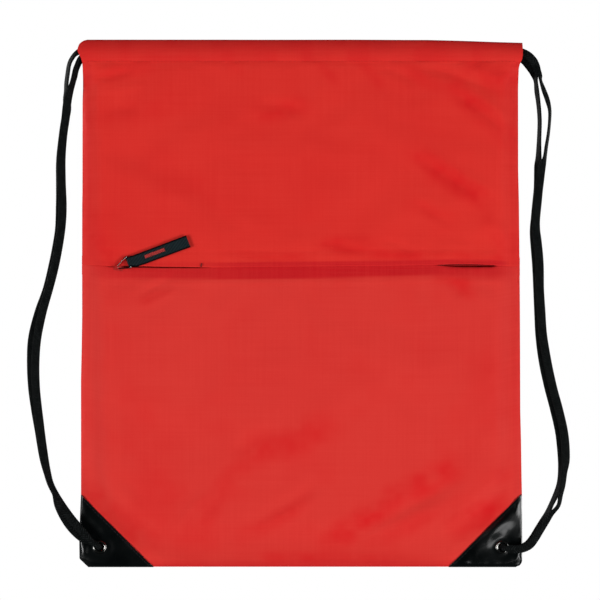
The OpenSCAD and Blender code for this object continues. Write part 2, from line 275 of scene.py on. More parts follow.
def blur(values, sigma):
    reach = max(1, int(3 * sigma / SIM_STEP))
    kernel = np.exp(-0.5 * (np.arange(-reach, reach + 1) * SIM_STEP / sigma) ** 2)
    kernel /= kernel.sum()
    for axis in (0, 1):
        pad = [(reach, reach) if i == axis else (0, 0) for i in (0, 1)]
        values = np.apply_along_axis(lambda row: np.convolve(row, kernel, "valid"), axis,
                                     np.pad(values, pad, mode="edge"))
    return values


def simulate():
    """Front and back fabric, held at their seams and cut a little over size, settle."""
    x, z = sim_grid()
    rows, cols = x.shape
    plain = (-depth_front(x, z), -depth_back(x, z))
    points, faces = [], []
    for k, y in enumerate(plain):
        jitter = 0.5 * noise(x, z, 17.0, 31 + k) + 0.25 * noise(x, z, 8.0, 41 + k)
        points.append(np.stack([x, y + jitter, z], -1).reshape(-1, 3))
        faces.append(grid_faces(rows, cols, start=k * rows * cols))
    mesh = bpy.data.meshes.new("sim")
    mesh.from_pydata((np.concatenate(points) * SIM_SCALE).tolist(), [],
                     np.concatenate(faces).tolist())
    ob = bpy.data.objects.new("sim", mesh)
    scene = bpy.context.scene
    scene.collection.objects.link(ob)
    # held at the outline, along the zip on the front, and under the patches
    held = np.zeros((2, rows, cols), bool)
    held[:, 0, :] = held[:, -1, :] = held[:, :, 0] = held[:, :, -1] = True
    held[0] |= np.abs(z - ZIP_Z) < 2.5
    held |= (inside_patch(x, z) < 2.0)[None]
    pins = ob.vertex_groups.new(name="pin")
    pins.add(np.nonzero(held.reshape(-1))[0].tolist(), 1.0, "REPLACE")
    modifier = ob.modifiers.new("cloth", "CLOTH")
    cloth = modifier.settings
    cloth.quality = 6
    cloth.mass = 0.15
    cloth.tension_stiffness = cloth.compression_stiffness = 30
    cloth.shear_stiffness = 8
    cloth.bending_stiffness = 0.6
    cloth.air_damping = 4
    cloth.vertex_group_mass = "pin"
    cloth.shrink_min = -0.010
    cloth.effector_weights.gravity = 0.0
    cloth.use_pressure = False
    modifier.collision_settings.use_collision = False
    modifier.point_cache.frame_start = 1
    modifier.point_cache.frame_end = SIM_FRAMES
    for i in range(1, SIM_FRAMES + 1):
        scene.frame_set(i)
    settled = ob.evaluated_get(bpy.context.evaluated_depsgraph_get()).to_mesh()
    moved = np.empty(len(settled.vertices) * 3)
    settled.vertices.foreach_get("co", moved)
    moved = moved.reshape(2, rows, cols, 3) / SIM_SCALE
    scene.frame_set(1)
    bpy.data.objects.remove(ob)
    result = []
    for k, y in enumerate(plain):
        forward = -(moved[k, :, :, 1] - y)
        forward = forward - blur(forward, 30.0)
        result.append(blur(np.clip(forward, -2.2, 2.2), 2.6))
    return result


def grid_faces(rows, cols, flip=False, start=0):
    i = np.arange(rows * cols).reshape(rows, cols) + start
    faces = np.stack([i[:-1, :-1], i[:-1, 1:], i[1:, 1:], i[1:, :-1]], -1).reshape(-1, 4)
    return faces[:, ::-1] if flip else faces


WRINKLES = simulate()


def wrinkle(share, z, which):
    """Bicubic sample of the wrinkles at share across (-1 to 1) and height z."""
    table = WRINKLES[which]
    rows, cols = table.shape

    def station(at, count):
        at = np.clip(at, 0, count - 1.001)
        low = np.floor(at).astype(int)
        t = at - low
        return low, [((-t + 2) * t - 1) * t / 2, ((3 * t - 5) * t * t + 2) / 2,
                     ((-3 * t + 4) * t + 1) * t / 2, (t - 1) * t * t / 2]

    i, weights_z = station(np.asarray(z) / SIM_STEP, rows)
    j, weights_x = station((np.asarray(share) + 1) / 2 * (cols - 1), cols)
    total = 0
    for p in range(4):
        for q in range(4):
            sample = table[np.clip(i + p - 1, 0, rows - 1), np.clip(j + q - 1, 0, cols - 1)]
            total = total + weights_z[p] * weights_x[q] * sample
    return total


def near_seams(x, z, zip_too=True):
    """1 in the open fabric, falling to 0 at a sewn edge."""
    free = ramp(inward(x, z), 0, 9) * ramp(z, 0, 9) * ramp(STITCH_Z - z, 0, 7)
    if zip_too:
        free = free * ramp(np.abs(z - zip_line(x)), 1, 8)
    return free * ramp(inside_patch(x, z), 0, 10)


def puckers(x, z, which):
    """Small gathers along the seams, across the stitching."""
    side = bell(inward(x, z) - 5, 30 ** 0.5) * noise(z, x * 0.18, 5.5, 51 + which)
    side = side * ramp(z, 55, 70)
    top = bell(STITCH_Z - z - 4, 46 ** 0.5) * noise(x, z * 0.16, 7.0, 53 + which)
    low = bell(z - 4, 30 ** 0.5) * noise(x, z * 0.18, 6.0, 55 + which) * (np.abs(x) < 112)
    total = 0.32 * side + 0.40 * top + 0.26 * low
    if which == 0:
        from_zip = np.abs(z - zip_line(x))
        total = total + 0.22 * bell(from_zip - 5, 24 ** 0.5) * noise(x, z * 0.2, 8.0, 57)
    inside = inside_patch(x, z)
    gathers = bell(inside - 5, 26 ** 0.5) * noise(x + z, x - z, 7.0, 59 + which)
    return total + 0.35 * gathers * (inside > 0)


def front_y(share, x, z):
    """Depth of the front fabric, with every wrinkle, at a point below the casing."""
    depth = depth_front(x, z)
    depth = depth + near_seams(x, z) * (
        0.24 * wrinkle(share, z, 0) + 0.85 * folds(x, z, FRONT_FOLDS) + 0.25 * noise(x, z, 70, 11))
    depth = depth + puckers(x, z, 0)
    above = z - zip_line(x)
    # the lower lip sits back under the upper one, and the zip tape's edges show through
    below = np.clip(-above / 10.5, 0, 1)
    under = np.where(above < 0, 1.45 * (1 - below) ** 1.3, 0)
    ridge = 0.30 * bell(-above - 12.3, 1.6)
    over = np.where(above >= 0, 0.35 * bell(above, 3.0), 0) - 0.22 * bell(above - 12.6, 1.8)
    depth = depth + ramp(168 - np.abs(x), 0, 12) * (ridge - under + over)
    depth = depth - 1.1 * ramp(-inside_patch(x, z), 1.0, 5.0)
    for dent_x in (-136.6, 151.4):       # pressed back at both ends of the zip
        depth = depth - 0.6 * bell(np.hypot(x - dent_x, z - 243.6), 72 ** 0.5)
    return np.maximum(depth, depth_back(x, z) + 0.35)


def back_y(share, x, z):
    free = near_seams(x, z, zip_too=False)
    relief = free * (0.75 * wrinkle(share, z, 1) + 1.5 * folds(x, z, BACK_FOLDS)
                     + 0.5 * noise(x, z, 60, 12))
    return (depth_back(x, z) - np.clip(relief, -1.4, 0.9) + 0.8 * puckers(x, z, 1)
            + 0.25 * free)


# ---------------------------------------------------------------- mesh helpers
def add_mesh(name, points, faces, material, rest=None, **shades):
    """A smooth mesh; rest is its texture position, and shades are per point: wear with painted
    highlight, painted shade, and painted crease shade with random tone.
    """
    points = np.asarray(points, float).reshape(-1, 3)
    mesh = bpy.data.meshes.new(name)
    mesh.from_pydata((points * MM).tolist(), [], [tuple(int(i) for i in face) for face in faces])
    mesh.update()
    mesh.polygons.foreach_set("use_smooth", [True] * len(mesh.polygons))
    rest = points * MM if rest is None else np.asarray(rest, float) * MM
    attribute = mesh.attributes.new("rest", "FLOAT_VECTOR", "POINT")
    attribute.data.foreach_set("vector", rest.astype(np.float32).ravel())
    for key in ("wear", "layer", "deep"):
        values = np.asarray(shades.get(key, np.zeros(len(points))))
        attribute = mesh.attributes.new(key, "FLOAT", "POINT")
        attribute.data.foreach_set("value", values.astype(np.float32))
    mesh.materials.append(material)
    ob = bpy.data.objects.new(name, mesh)
    bpy.context.scene.collection.objects.link(ob)
    return ob


def unit(vectors, floor=1e-9):
    return vectors / np.maximum(np.linalg.norm(vectors, axis=-1, keepdims=True), floor)


def used_points(faces, count):
    """The points that the faces use, and each point's new number."""
    used = np.unique(faces)
    index = np.full(count, -1)
    index[used] = np.arange(len(used))
    return used, index


def sheet(name, points, thick, material, rest, flip=False, keep=None, **shades):
    """A closed sheet: the grid of points is its outer face, a second face lies thick behind it,
    and a crisp rim runs all round. keep marks the faces that stay."""
    rows, cols = points.shape[:2]
    count = rows * cols
    normal = unit(np.cross(np.gradient(points, axis=1), np.gradient(points, axis=0)))
    if flip:
        normal = -normal
    for _ in range(2):
        normal[1:-1] = normal[1:-1] * 0.5 + 0.25 * (normal[:-2] + normal[2:])
    inner = points - unit(normal) * thick
    outer = grid_faces(rows, cols, flip=flip)
    if keep is not None:
        outer = outer[keep]
    starts, ends = outer.reshape(-1), np.roll(outer, -1, axis=1).reshape(-1)
    open_edge = ~np.isin(starts.astype(np.int64) * count + ends,
                         ends.astype(np.int64) * count + starts)
    ring, after = starts[open_edge], ends[open_edge]
    rim = np.stack([after, ring, ring + count, after + count], -1)
    faces = np.concatenate([outer, outer[:, ::-1] + count, rim])
    used, index = used_points(faces, 2 * count)
    both = np.concatenate([points.reshape(-1, 3), inner.reshape(-1, 3)])
    ob = add_mesh(name, both[used], index[faces], material,
                  rest=np.tile(rest.reshape(count, 3), (2, 1))[used],
                  **{key: np.tile(values.ravel(), 2)[used] for key, values in shades.items()})

    def edge_key(first, second):
        return np.minimum(first, second) * (4 * count) + np.maximum(first, second)

    mesh = ob.data
    ends = np.empty(len(mesh.edges) * 2, dtype=np.int64)
    mesh.edges.foreach_get("vertices", ends)
    border = np.concatenate([edge_key(index[ring], index[after]),
                             edge_key(index[ring + count], index[after + count])])
    sharp = (mesh.attributes.get("sharp_edge")
             or mesh.attributes.new("sharp_edge", "BOOLEAN", "EDGE"))
    sharp.data.foreach_set("value", np.isin(edge_key(ends[::2], ends[1::2]), border))
    return ob


def torus_faces(rows, cols):
    """Faces of a grid that closes on itself both ways."""
    i = np.arange(rows * cols).reshape(rows, cols)
    j = np.roll(i, -1, axis=1)
    return np.stack([i, j, np.roll(j, -1, axis=0), np.roll(i, -1, axis=0)], -1).reshape(-1, 4)


def thicken(ob, thick, offset=-1.0):
    modifier = ob.modifiers.new("thickness", "SOLIDIFY")
    modifier.thickness = thick * MM
    modifier.offset = offset
    modifier.use_even_offset = False
    modifier.use_rim = True


def arc_rest(x, y, z, sign=1):
    """Texture position: across, and the distance run up the sheet."""
    step = np.hypot(np.diff(y, axis=0), np.diff(z, axis=0))
    run = np.concatenate([np.zeros((1, x.shape[1])), np.cumsum(step, 0)], 0)
    return np.stack([x, np.zeros_like(x) + sign * 0.1, run + z[0:1]], -1)


def spline(points, count):
    """Smooth curve through the rows of points, count samples for each span."""
    rows = np.asarray(points, float)
    curve = []
    for i in range(len(rows) - 1):
        before, here = rows[max(i - 1, 0)], rows[i]
        ahead, beyond = rows[i + 1], rows[min(i + 2, len(rows) - 1)]
        for t in np.arange(count) / count:
            curve.append(0.5 * (2 * here + (ahead - before) * t
                                + (2 * before - 5 * here + 4 * ahead - beyond) * t * t
                                + (3 * here - before - 3 * ahead + beyond) * t ** 3))
    curve.append(rows[-1])
    return np.array(curve)


def run_length(points):
    steps = np.linalg.norm(np.diff(points, axis=0), axis=1)
    return np.concatenate([[0], np.cumsum(steps)])


def interp_rows(at, known, rows):
    return np.stack([np.interp(at, known, rows[:, k]) for k in range(rows.shape[1])], -1)


def resample(rows, step):
    """The curve at equal steps, with any columns after x, y, z carried along; and its run."""
    run = run_length(rows[:, :3])
    even = np.linspace(0, run[-1], max(2, int(round(run[-1] / step)) + 1))
    return interp_rows(even, run, rows), even


def sweep(centres, wide, half_w, half_t, sides, along, bump=None, power=2.6, caps=True):
    """A superellipse section swept along centres; wide is the direction of its width."""
    centres = np.asarray(centres, float)
    count = len(centres)
    tangent = unit(np.gradient(centres, axis=0))
    wide = unit(wide - (wide * tangent).sum(1)[:, None] * tangent)
    thin = np.cross(wide, tangent)
    angle = np.linspace(0, 2 * math.pi, sides, endpoint=False)
    across_w = np.sign(np.cos(angle)) * np.abs(np.cos(angle)) ** (2 / power)
    across_t = np.sign(np.sin(angle)) * np.abs(np.sin(angle)) ** (2 / power)
    half_w = np.broadcast_to(half_w, (count,))[:, None] * np.ones(sides)
    half_t = np.broadcast_to(half_t, (count,))[:, None] * np.ones(sides)
    if bump is not None:
        relief = bump(along[:, None], across_w[None, :], across_t[None, :])
        half_t = half_t + relief
        half_w = half_w + 0.5 * relief * (np.abs(across_w)[None, :] ** 3)
    points = (centres[:, None, :] + wide[:, None, :] * (half_w * across_w)[..., None]
              + thin[:, None, :] * (half_t * across_t)[..., None]).reshape(-1, 3)
    i = np.arange(count * sides).reshape(count, sides)
    j = np.roll(i, -1, axis=1)
    faces = np.stack([i[:-1], j[:-1], j[1:], i[1:]], -1).reshape(-1, 4).tolist()
    rest = np.stack([np.repeat(along[:, None], sides, 1),
                     np.repeat((across_w * 0.5 * np.mean(half_w))[None, :], count, 0),
                     np.repeat((across_t * 0.5)[None, :], count, 0)], -1).reshape(-1, 3)
    if caps:
        points = np.concatenate([points, centres[:1], centres[-1:]])
        rest = np.concatenate([rest, [[along[0], 0, 0]], [[along[-1], 0, 0]]])
        first = count * sides
        faces += [[first, int(j[0, k]), int(i[0, k])] for k in range(sides)]
        faces += [[first + 1, int(i[-1, k]), int(j[-1, k])] for k in range(sides)]
    return points, faces, rest


def tube(points, radius, sides=8):
    points = np.asarray(points, float)
    tangent = unit(np.gradient(points, axis=0))
    wide = np.zeros_like(tangent)
    aside = np.array([0, 0, 1.0]) if abs(tangent[0][2]) < 0.8 else np.array([1.0, 0, 0])
    for k in range(len(points)):
        aside = unit(aside - (aside @ tangent[k]) * tangent[k])
        wide[k] = aside
    return sweep(points, wide, radius, radius, sides, run_length(points), power=2.0)


def add_swept(name, parts, material):
    """One mesh from several swept parts."""
    faces, start = [], 0
    for points, part_faces, _ in parts:
        faces += [[k + start for k in face] for face in part_faces]
        start += len(points)
    return add_mesh(name, np.concatenate([part[0] for part in parts]), faces, material,
                    rest=np.concatenate([part[2] for part in parts]))


def lathe(profile, centre_x, centre_z, segments=72):
    """profile: rows of radius and y; turned about a line along y."""
    profile = np.asarray(profile, float)
    angle = np.linspace(0, 2 * math.pi, segments, endpoint=False)
    radius = profile[:, 0][:, None]
    points = np.stack([centre_x + radius * np.cos(angle),
                       np.repeat(profile[:, 1][:, None], segments, 1),
                       centre_z + radius * np.sin(angle)], -1).reshape(-1, 3)
    return points, torus_faces(len(profile), segments)


# ---------------------------------------------------------------- materials
class Graph:
    """Short forms for wiring shader nodes."""

    def __init__(self, tree):
        self.tree = tree
        tree.nodes.clear()

    def node(self, kind, inputs=None, **properties):
        made = self.tree.nodes.new(kind)
        for key, value in properties.items():
            setattr(made, key, value)
        self.fill(made, inputs or {})
        return made

    def fill(self, node, inputs):
        """Link or set each input; colours are given as red, green, blue."""
        for key, value in inputs.items():
            socket = node.inputs[key]
            if isinstance(value, bpy.types.NodeSocket):
                self.tree.links.new(value, socket)
            elif socket.type == "RGBA":
                socket.default_value = (*value, 1.0)
            else:
                socket.default_value = value

    def attribute(self, name, output="Fac"):
        return self.node("ShaderNodeAttribute", attribute_name=name).outputs[output]

    def coordinates(self, output="Object"):
        return self.node("ShaderNodeTexCoord").outputs[output]

    def split(self, vector):
        return self.node("ShaderNodeSeparateXYZ", {0: vector}).outputs

    def scaled(self, vector, scale):
        return self.node("ShaderNodeMapping", {"Scale": scale, "Vector": vector}).outputs[0]

    def noise(self, vector, scale, detail=2.0, rough=0.5):
        return self.node("ShaderNodeTexNoise", {
            "Scale": scale, "Detail": detail, "Roughness": rough, "Vector": vector}).outputs[0]

    def wave(self, vector, scale, direction):
        return self.node("ShaderNodeTexWave", {"Scale": scale, "Detail": 0, "Vector": vector},
                         bands_direction=direction).outputs["Fac"]

    def math(self, operation, *values):
        return self.node("ShaderNodeMath", dict(enumerate(values)),
                         operation=operation).outputs[0]

    def span(self, value, of, to=(0.0, 1.0)):
        """Map the range of onto the range to, clamped."""
        return self.node("ShaderNodeMapRange", {
            "From Min": of[0], "From Max": of[1], "To Min": to[0], "To Max": to[1],
            "Value": value}).outputs[0]

    def mix(self, factor, first, second):
        # inputs 6 and 7 and output 2 are the colour ones
        return self.node("ShaderNodeMix", {0: factor, 6: first, 7: second},
                         data_type="RGBA").outputs[2]

    def bump(self, height, strength, distance, normal=None):
        inputs = {"Strength": strength, "Distance": distance, "Height": height}
        if normal is not None:
            inputs["Normal"] = normal
        return self.node("ShaderNodeBump", inputs).outputs[0]

    def surface(self, inputs):
        self.fill(self.principled, inputs)


def new_material(name):
    material = bpy.data.materials.new(name)
    material.use_nodes = True
    graph = Graph(material.node_tree)
    output = graph.node("ShaderNodeOutputMaterial")
    graph.principled = graph.node("ShaderNodeBsdfPrincipled")
    graph.fill(output, {0: graph.principled.outputs[0]})
    return material, graph


MIDDLE = (0.3, 0.7)       # the part of a noise's range that most of it fills
UPPER = (0.35, 0.7)
NARROW = (0.35, 0.65)
SHADE_AND_TONE_RED = (0.590, 0.0105, 0.0120)


def fabric(name, base, dark, light, pitch=0.00042, weave=0.35, painted_shade_red=None):
    """Plain weave; pitch sets the thread size, weave its relief, and the shade red is the colour
    painted as shade where the cloth lies double or turns from the light.
    """
    material, g = new_material(name)
    rest = g.attribute("rest", "Vector")
    bands = 1.0 / (2 * math.pi * pitch)
    warp = g.wave(g.scaled(rest, (1, 0, 0)), bands, "X")
    weft = g.wave(g.scaled(rest, (0, 0, 1)), bands, "Z")
    over = g.math("MULTIPLY", warp, weft)
    under = g.math("MULTIPLY", g.math("SUBTRACT", 1.0, warp), g.math("SUBTRACT", 1.0, weft))
    cloth = g.math("ADD", over, under)
    # long thin streaks both ways, as from uneven yarns
    streaks = [g.noise(g.scaled(rest, scale), scale=1.0)
               for scale in ((14, 1, 900), (900, 1, 14))]
    yarns = g.math("ADD", *[g.math("MULTIPLY", streak, 0.5) for streak in streaks])
    cloud = g.noise(rest, scale=9.0, detail=3.0, rough=0.55)
    streak_light, streak_light_in_shade, gap_shade, wear_light = 0.30, 0.18, 0.22, 0.25
    colour = g.mix(g.span(cloud, of=MIDDLE), dark, base)
    colour = g.mix(g.math("MULTIPLY", g.span(yarns, of=NARROW), streak_light), colour, light)
    # painted shade in the gaps between the threads
    colour = g.mix(g.math("MULTIPLY", g.math("SUBTRACT", 1.0, cloth), gap_shade), colour, dark)
    if painted_shade_red:
        # painted shade: darker red where the cloth lies double or turns from the light, and deeper red
        # in the painted crease shade
        layer = g.attribute("layer")
        two_layers = g.mix(g.math("MULTIPLY", g.span(yarns, of=NARROW), streak_light_in_shade),
                           painted_shade_red, light)
        colour = g.mix(g.attribute("deep"), colour, SHADE_AND_TONE_RED)
        colour = g.mix(layer, colour, two_layers)
    # lighter where worn, and where a highlight is painted along the lip
    colour = g.mix(g.math("MULTIPLY", g.attribute("wear"), wear_light), colour, light)
    base_rough, crown_smooth = 0.6, 0.06
    uneven = g.span(g.noise(rest, scale=60, detail=3), of=MIDDLE, to=(-0.05, 0.05))
    smooth = g.math("MULTIPLY", cloth, crown_smooth)
    roughness = g.math("ADD", uneven, g.math("SUBTRACT", base_rough, smooth))
    crinkle = g.noise(rest, scale=260, detail=5.0, rough=0.6)
    normal = g.bump(crinkle, strength=0.5, distance=0.00022)
    normal = g.bump(yarns, strength=0.35, distance=0.00008, normal=normal)
    normal = g.bump(cloth, strength=weave, distance=0.00006, normal=normal)
    g.surface({"Base Color": colour, "Roughness": roughness, "Specular IOR Level": 0.035,
               "Sheen Weight": 0.02, "Sheen Roughness": 0.45, "Sheen Tint": light,
               "Normal": normal})
    return material


def vinyl():
    material, g = new_material("patch_vinyl")
    rest = g.attribute("rest", "Vector")
    grain = g.node("ShaderNodeTexVoronoi", {"Scale": 1100, "Vector": rest},
                   feature="SMOOTH_F1").outputs["Distance"]
    fine = g.noise(rest, scale=2600, detail=3.0)
    cloud = g.noise(rest, scale=55, detail=4.0)
    black, soft_black = (0.0006, 0.0012, 0.0013), (0.0014, 0.0022, 0.0023)
    worn_grey = (0.022, 0.025, 0.026)
    worn_colour, worn_rough = 0.6, 0.15
    colour = g.mix(g.span(cloud, of=UPPER), black, soft_black)
    colour = g.mix(g.math("MULTIPLY", g.attribute("wear"), worn_colour), colour, worn_grey)
    roughness = g.math("ADD", g.span(cloud, of=MIDDLE, to=(0.24, 0.40)),
                       g.math("MULTIPLY", g.attribute("wear"), worn_rough))
    normal = g.bump(g.noise(rest, scale=120, detail=3.0), strength=0.35, distance=0.0006)
    normal = g.bump(grain, strength=0.22, distance=0.00012, normal=normal)
    normal = g.bump(fine, strength=0.10, distance=0.00005, normal=normal)
    g.surface({"Base Color": colour, "Roughness": roughness, "Specular IOR Level": 0.10,
               "Coat Weight": 0.38, "Coat Roughness": 0.20, "Normal": normal})
    return material


def nickel():
    material, g = new_material("nickel")
    place = g.coordinates()
    cloud = g.noise(place, scale=320, detail=3.0)
    dull, bright = (0.170, 0.168, 0.160), (0.250, 0.247, 0.238)
    scratches = g.noise(g.scaled(place, (1, 6, 1)), scale=1500, detail=3.0)
    g.surface({
        "Base Color": g.mix(g.span(cloud, of=UPPER), dull, bright),
        "Metallic": 1.0,
        "Roughness": g.span(g.noise(place, scale=1400, detail=4.0), of=MIDDLE, to=(0.08, 0.24)),
        "Normal": g.bump(scratches, strength=0.12, distance=0.00004)})
    return material


def braid(name, dark, mid, ribs=None, crown_highlight_colour=None):
    """Dark fibrous thread; the rib and crown colours are painted highlights on a ribbon's or a cord's
    crests.
    """
    material, g = new_material(name)
    rest = g.attribute("rest", "Vector")
    fibre = g.noise(g.scaled(rest, (1800, 5200, 1800)), scale=1.0, detail=3.0)
    cloud = g.noise(rest, scale=70, detail=3.0)
    cloud_dark, rib_highlight_amount, crown_highlight_amount = 0.35, 0.7, 0.8
    colour = g.mix(g.span(fibre, of=UPPER), dark, mid)
    colour = g.mix(g.math("MULTIPLY", g.span(cloud, of=(0.4, 0.7)), cloud_dark), colour, dark)
    if ribs:
        # a wave of scale 1 repeats every 2 pi / 20
        bands = 2 * math.pi / (RIB_PITCH * MM * 20.0)
        crest = g.wave(g.scaled(rest, (1, 0, 0)), bands, "X")
        from_middle = g.math("ABSOLUTE", g.split(rest)["Y"])
        # the selvedges stay plain and dark
        inner = g.span(from_middle, of=(0.0033, 0.0040), to=(1.0, 0.0))
        colour = g.mix(inner, dark, colour)
        # painted highlight on the rib crests, kept off the plain selvedges
        lit = g.math("MULTIPLY", g.math("POWER", crest, 3.0), rib_highlight_amount)
        colour = g.mix(g.math("MULTIPLY", lit, inner), colour, ribs)
    if crown_highlight_colour:
        # painted highlight on the crowns of the slanting strands; the same slant as in braid_bump,
        # where rest holds half the distance from the cord's middle
        parts = g.split(rest)
        face_shift = g.math("MULTIPLY", g.math("SIGN", parts["Z"]), 0.4)
        lengthwise = g.math("DIVIDE", parts["X"], STRAND_PITCH * MM)
        sideways = g.math("DIVIDE", g.math("ABSOLUTE", parts["Y"]), STRAND_SLANT / 2 * MM)
        phase = g.math("ADD", g.math("ADD", lengthwise, face_shift), sideways)
        ridge = g.math("ABSOLUTE", g.math("COSINE", g.math("MULTIPLY", phase, math.pi)))
        crown = g.math("POWER", ridge, 5.0)
        fleck = g.span(g.noise(rest, scale=900), of=(0.4, 0.62), to=(0.1, 1.0))
        crown_highlight = g.math("MULTIPLY", g.math("MULTIPLY", crown, fleck), crown_highlight_amount)
        colour = g.mix(crown_highlight, colour, crown_highlight_colour)
    g.surface({"Base Color": colour, "Roughness": g.span(fibre, of=MIDDLE, to=(0.62, 0.85)),
               "Specular IOR Level": 0.045,
               "Normal": g.bump(fibre, strength=0.5, distance=0.00012)})
    return material


def painted(name, base, dark):
    material, g = new_material(name)
    place = g.coordinates()
    cloud = g.noise(place, scale=500, detail=3.0)
    g.surface({"Base Color": g.mix(g.span(cloud, of=MIDDLE), dark, base),
               "Roughness": g.span(cloud, of=MIDDLE, to=(0.3, 0.5)),
               "Normal": g.bump(g.noise(place, scale=2600), strength=0.15, distance=0.00005)})
    return material


RED = fabric("taffeta_red", base=(0.640, 0.0272, 0.0200), dark=(0.602, 0.0212, 0.0172),
             light=(0.690, 0.046, 0.035), painted_shade_red=(0.490, 0.0080, 0.0135))
RED_LOW = fabric("taffeta_red_lower", base=(0.620, 0.0350, 0.0270), dark=(0.588, 0.0285, 0.0235),
                 light=(0.665, 0.052, 0.041), painted_shade_red=(0.500, 0.0080, 0.0125))
RED_LINING = fabric("lining_red", base=(0.46, 0.014, 0.011), dark=(0.40, 0.012, 0.009),
                    light=(0.55, 0.035, 0.03), pitch=0.0006)
RED_TAPE = fabric("tape_red", base=(0.24, 0.0040, 0.0042), dark=(0.17, 0.0030, 0.0032),
                  light=(0.32, 0.010, 0.010), pitch=0.0009, weave=0.7)
VINYL = vinyl()
NICKEL = nickel()
CORD = braid("cord_braid", dark=(0.0005, 0.0008, 0.0009), mid=(0.0026, 0.0034, 0.0034),
             crown_highlight_colour=(0.016, 0.019, 0.019))
RIBBON = braid("ribbon_weave", dark=(0.0008, 0.0018, 0.0024), mid=(0.0036, 0.0070, 0.0088),
               ribs=(0.030, 0.052, 0.058))
THREAD_RED = fabric("thread_red", base=(0.52, 0.018, 0.014), dark=(0.40, 0.012, 0.010),
                    light=(0.62, 0.05, 0.04), pitch=0.0005, weave=0.8)
THREAD_TACK = fabric("thread_tack", base=(0.60, 0.055, 0.050), dark=(0.45, 0.030, 0.028),
                     light=(0.75, 0.16, 0.14), pitch=0.0005, weave=0.8)
THREAD_BLACK = braid("thread_black", dark=(0.004, 0.004, 0.005), mid=(0.03, 0.03, 0.032))
COIL = painted("coil_red", base=(0.17, 0.0030, 0.0034), dark=(0.12, 0.0022, 0.0026))
PAINT = painted("slider_red", base=(0.42, 0.014, 0.011), dark=(0.33, 0.011, 0.009))


def attach(ob, slot, *replaced, body="root", mouth=0):
    """Ride a body, or, for a piece of the mouth, bake its place into the mesh and leave it unparented.

    mouth is the side, -1 for the left half and 1 for the right.
    """
    if mouth:
        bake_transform(ob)
    else:
        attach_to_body(ob, body)
    if replaced:
        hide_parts(*replaced)


# ---------------------------------------------------------------- front and back sheets
def across(side):
    """Shares of the half width, from 0 to 1 on the right, with two extra near the edge."""
    even = np.linspace(0, 1, int(HALF_WIDTH / STEP) + 1)
    share = np.unique(np.concatenate([even, [0.985, 0.993]]))
    return -share[::-1] if side < 0 else share


def share_x(share, z):
    """Across the sheet; the shell's edge is turned in a little where a patch wraps it."""
    inset = 1.5 * ramp(57.5 - np.asarray(z, float), 0, 3)
    return np.where(share < 0, share * (edge_left(z) - inset), share * (edge_right(z) - inset))


def lifted(x, z):
    """The shell's bottom edge, drawn up under the patches."""
    return z + 1.5 * ramp(np.abs(x), 118.5, 123) * (1 - np.clip(z / 9.0, 0, 1))


def outside_eyelets(x, z):
    """Marks the grid's faces that stay when the eyelets are punched."""
    mid_x = (x[:-1, :-1] + x[1:, 1:]) / 2
    mid_z = (z[:-1, :-1] + z[1:, 1:]) / 2
    return (eye_distance(mid_x, mid_z) > 3.6).reshape(-1)


def gape(x):
    """How far each lip stands off the zip line: a hair at the left, most parted at the right."""
    part = np.clip((x - 107.0) / (154.5 - 107.0), 0, 1)
    slit = np.interp(part, [0, 0.10, 0.26, 0.46, 0.70, 0.88, 0.975, 1.0],
                     [0, 0.22, 0.74, 1.0, 0.86, 0.62, 0.46, 0.0])
    return (0.22 * ramp(x, -152, -140) * ramp(-x, 60, 96)
            + 0.14 * ramp(x, -150, -140) * ramp(-x, 96, 118) + 0.05 + 1.12 * slit)


def lap(x):
    """How far the lower lip runs up behind the upper one where the zip lies shut."""
    return (0.75 * ramp(x, -84, -64) * ramp(-x, -112, -100) + 0.5 * ramp(-x, 150, 158)
            + 0.5 * ramp(x, 153, 158))


# casing section, from the stitch line over the top and down inside: set-in from the outer
# face, height
CASING = spline([
    (0.42, 402.8), (0.28, 403.5), (0.02, 405.0), (-0.12, 407.2), (0.0, 409.6), (0.38, 412.0),
    (1.05, 414.3), (2.0, 416.6), (3.1, 418.6), (4.05, 419.8), (4.8, 420.2), (5.35, 419.6),
    (5.5, 418.0), (5.5, 415.0), (5.45, 410.5), (5.1, 407.0), (3.9, 404.8), (1.9, 403.3),
    (1.35, 402.3), (1.3, 400.5), (1.35, 398.0)], 3)


def casing_ripple(x, z, which):
    return 0.55 * noise(x, z * 0.14, 8.0, 73 + which) + 0.9 * noise(x, z * 0.3, 27.0, 75 + which)


def casing_rows(share, which):
    """x, y and z grids of the casing; which is 0 for the front and 1 for the back."""
    count = len(CASING)
    share = np.repeat(share[None, :], count, 0)
    set_in = CASING[:, 0][:, None] * np.ones_like(share)
    level = CASING[:, 1][:, None] * np.ones_like(share)
    lift = (top_z(share_x(share, 408.0)) - STITCH_Z) / (TOP_Z - STITCH_Z)
    z = np.where(level > STITCH_Z, STITCH_Z + (level - STITCH_Z) * lift, level)
    x = share_x(share, np.minimum(level, TOP_Z))
    wave = 0.35 * noise(x, 0, 46.0, 71 + which) * ramp(level, 404, 414)
    z = z + 0.8 * wave * (level > 410)
    bulge = np.interp(level, [402.8, 405, 409, 414, 420], [0.1, 0.35, 0.5, 0.35, 0.15])
    ripple = bulge * casing_ripple(x, level, which)
    outside = np.arange(count)[:, None] < count * 0.55
    ripple = np.where(outside, ripple, ripple * 0.4)
    if which == 0:
        y = -(DEPTH - set_in + ripple)
    else:
        y = -set_in + 0.6 * np.clip(ripple, -0.6, 0.35)
    return np.stack([x, y, z])


def with_casing(rows, share, which):
    """x, y, z grids of panel and casing, each point's casing profile height, and the lightening for
    wear and painted highlight.
    """
    x, y, z = np.concatenate([np.array(rows).transpose(1, 0, 2), casing_rows(share, which)], 1)
    count = len(rows)
    level = np.concatenate([np.zeros(count), CASING[:, 1]])[:, None] * np.ones_like(x)
    wear = np.zeros_like(x)
    wear[count + 10:count + 34] = 0.15
    return x, y, z, level, wear


def side_seam_shade(x, z):
    """1 where the side seam allowance lies behind the cloth."""
    return ramp(7.5 - inward(x, z), 0, 1.5)


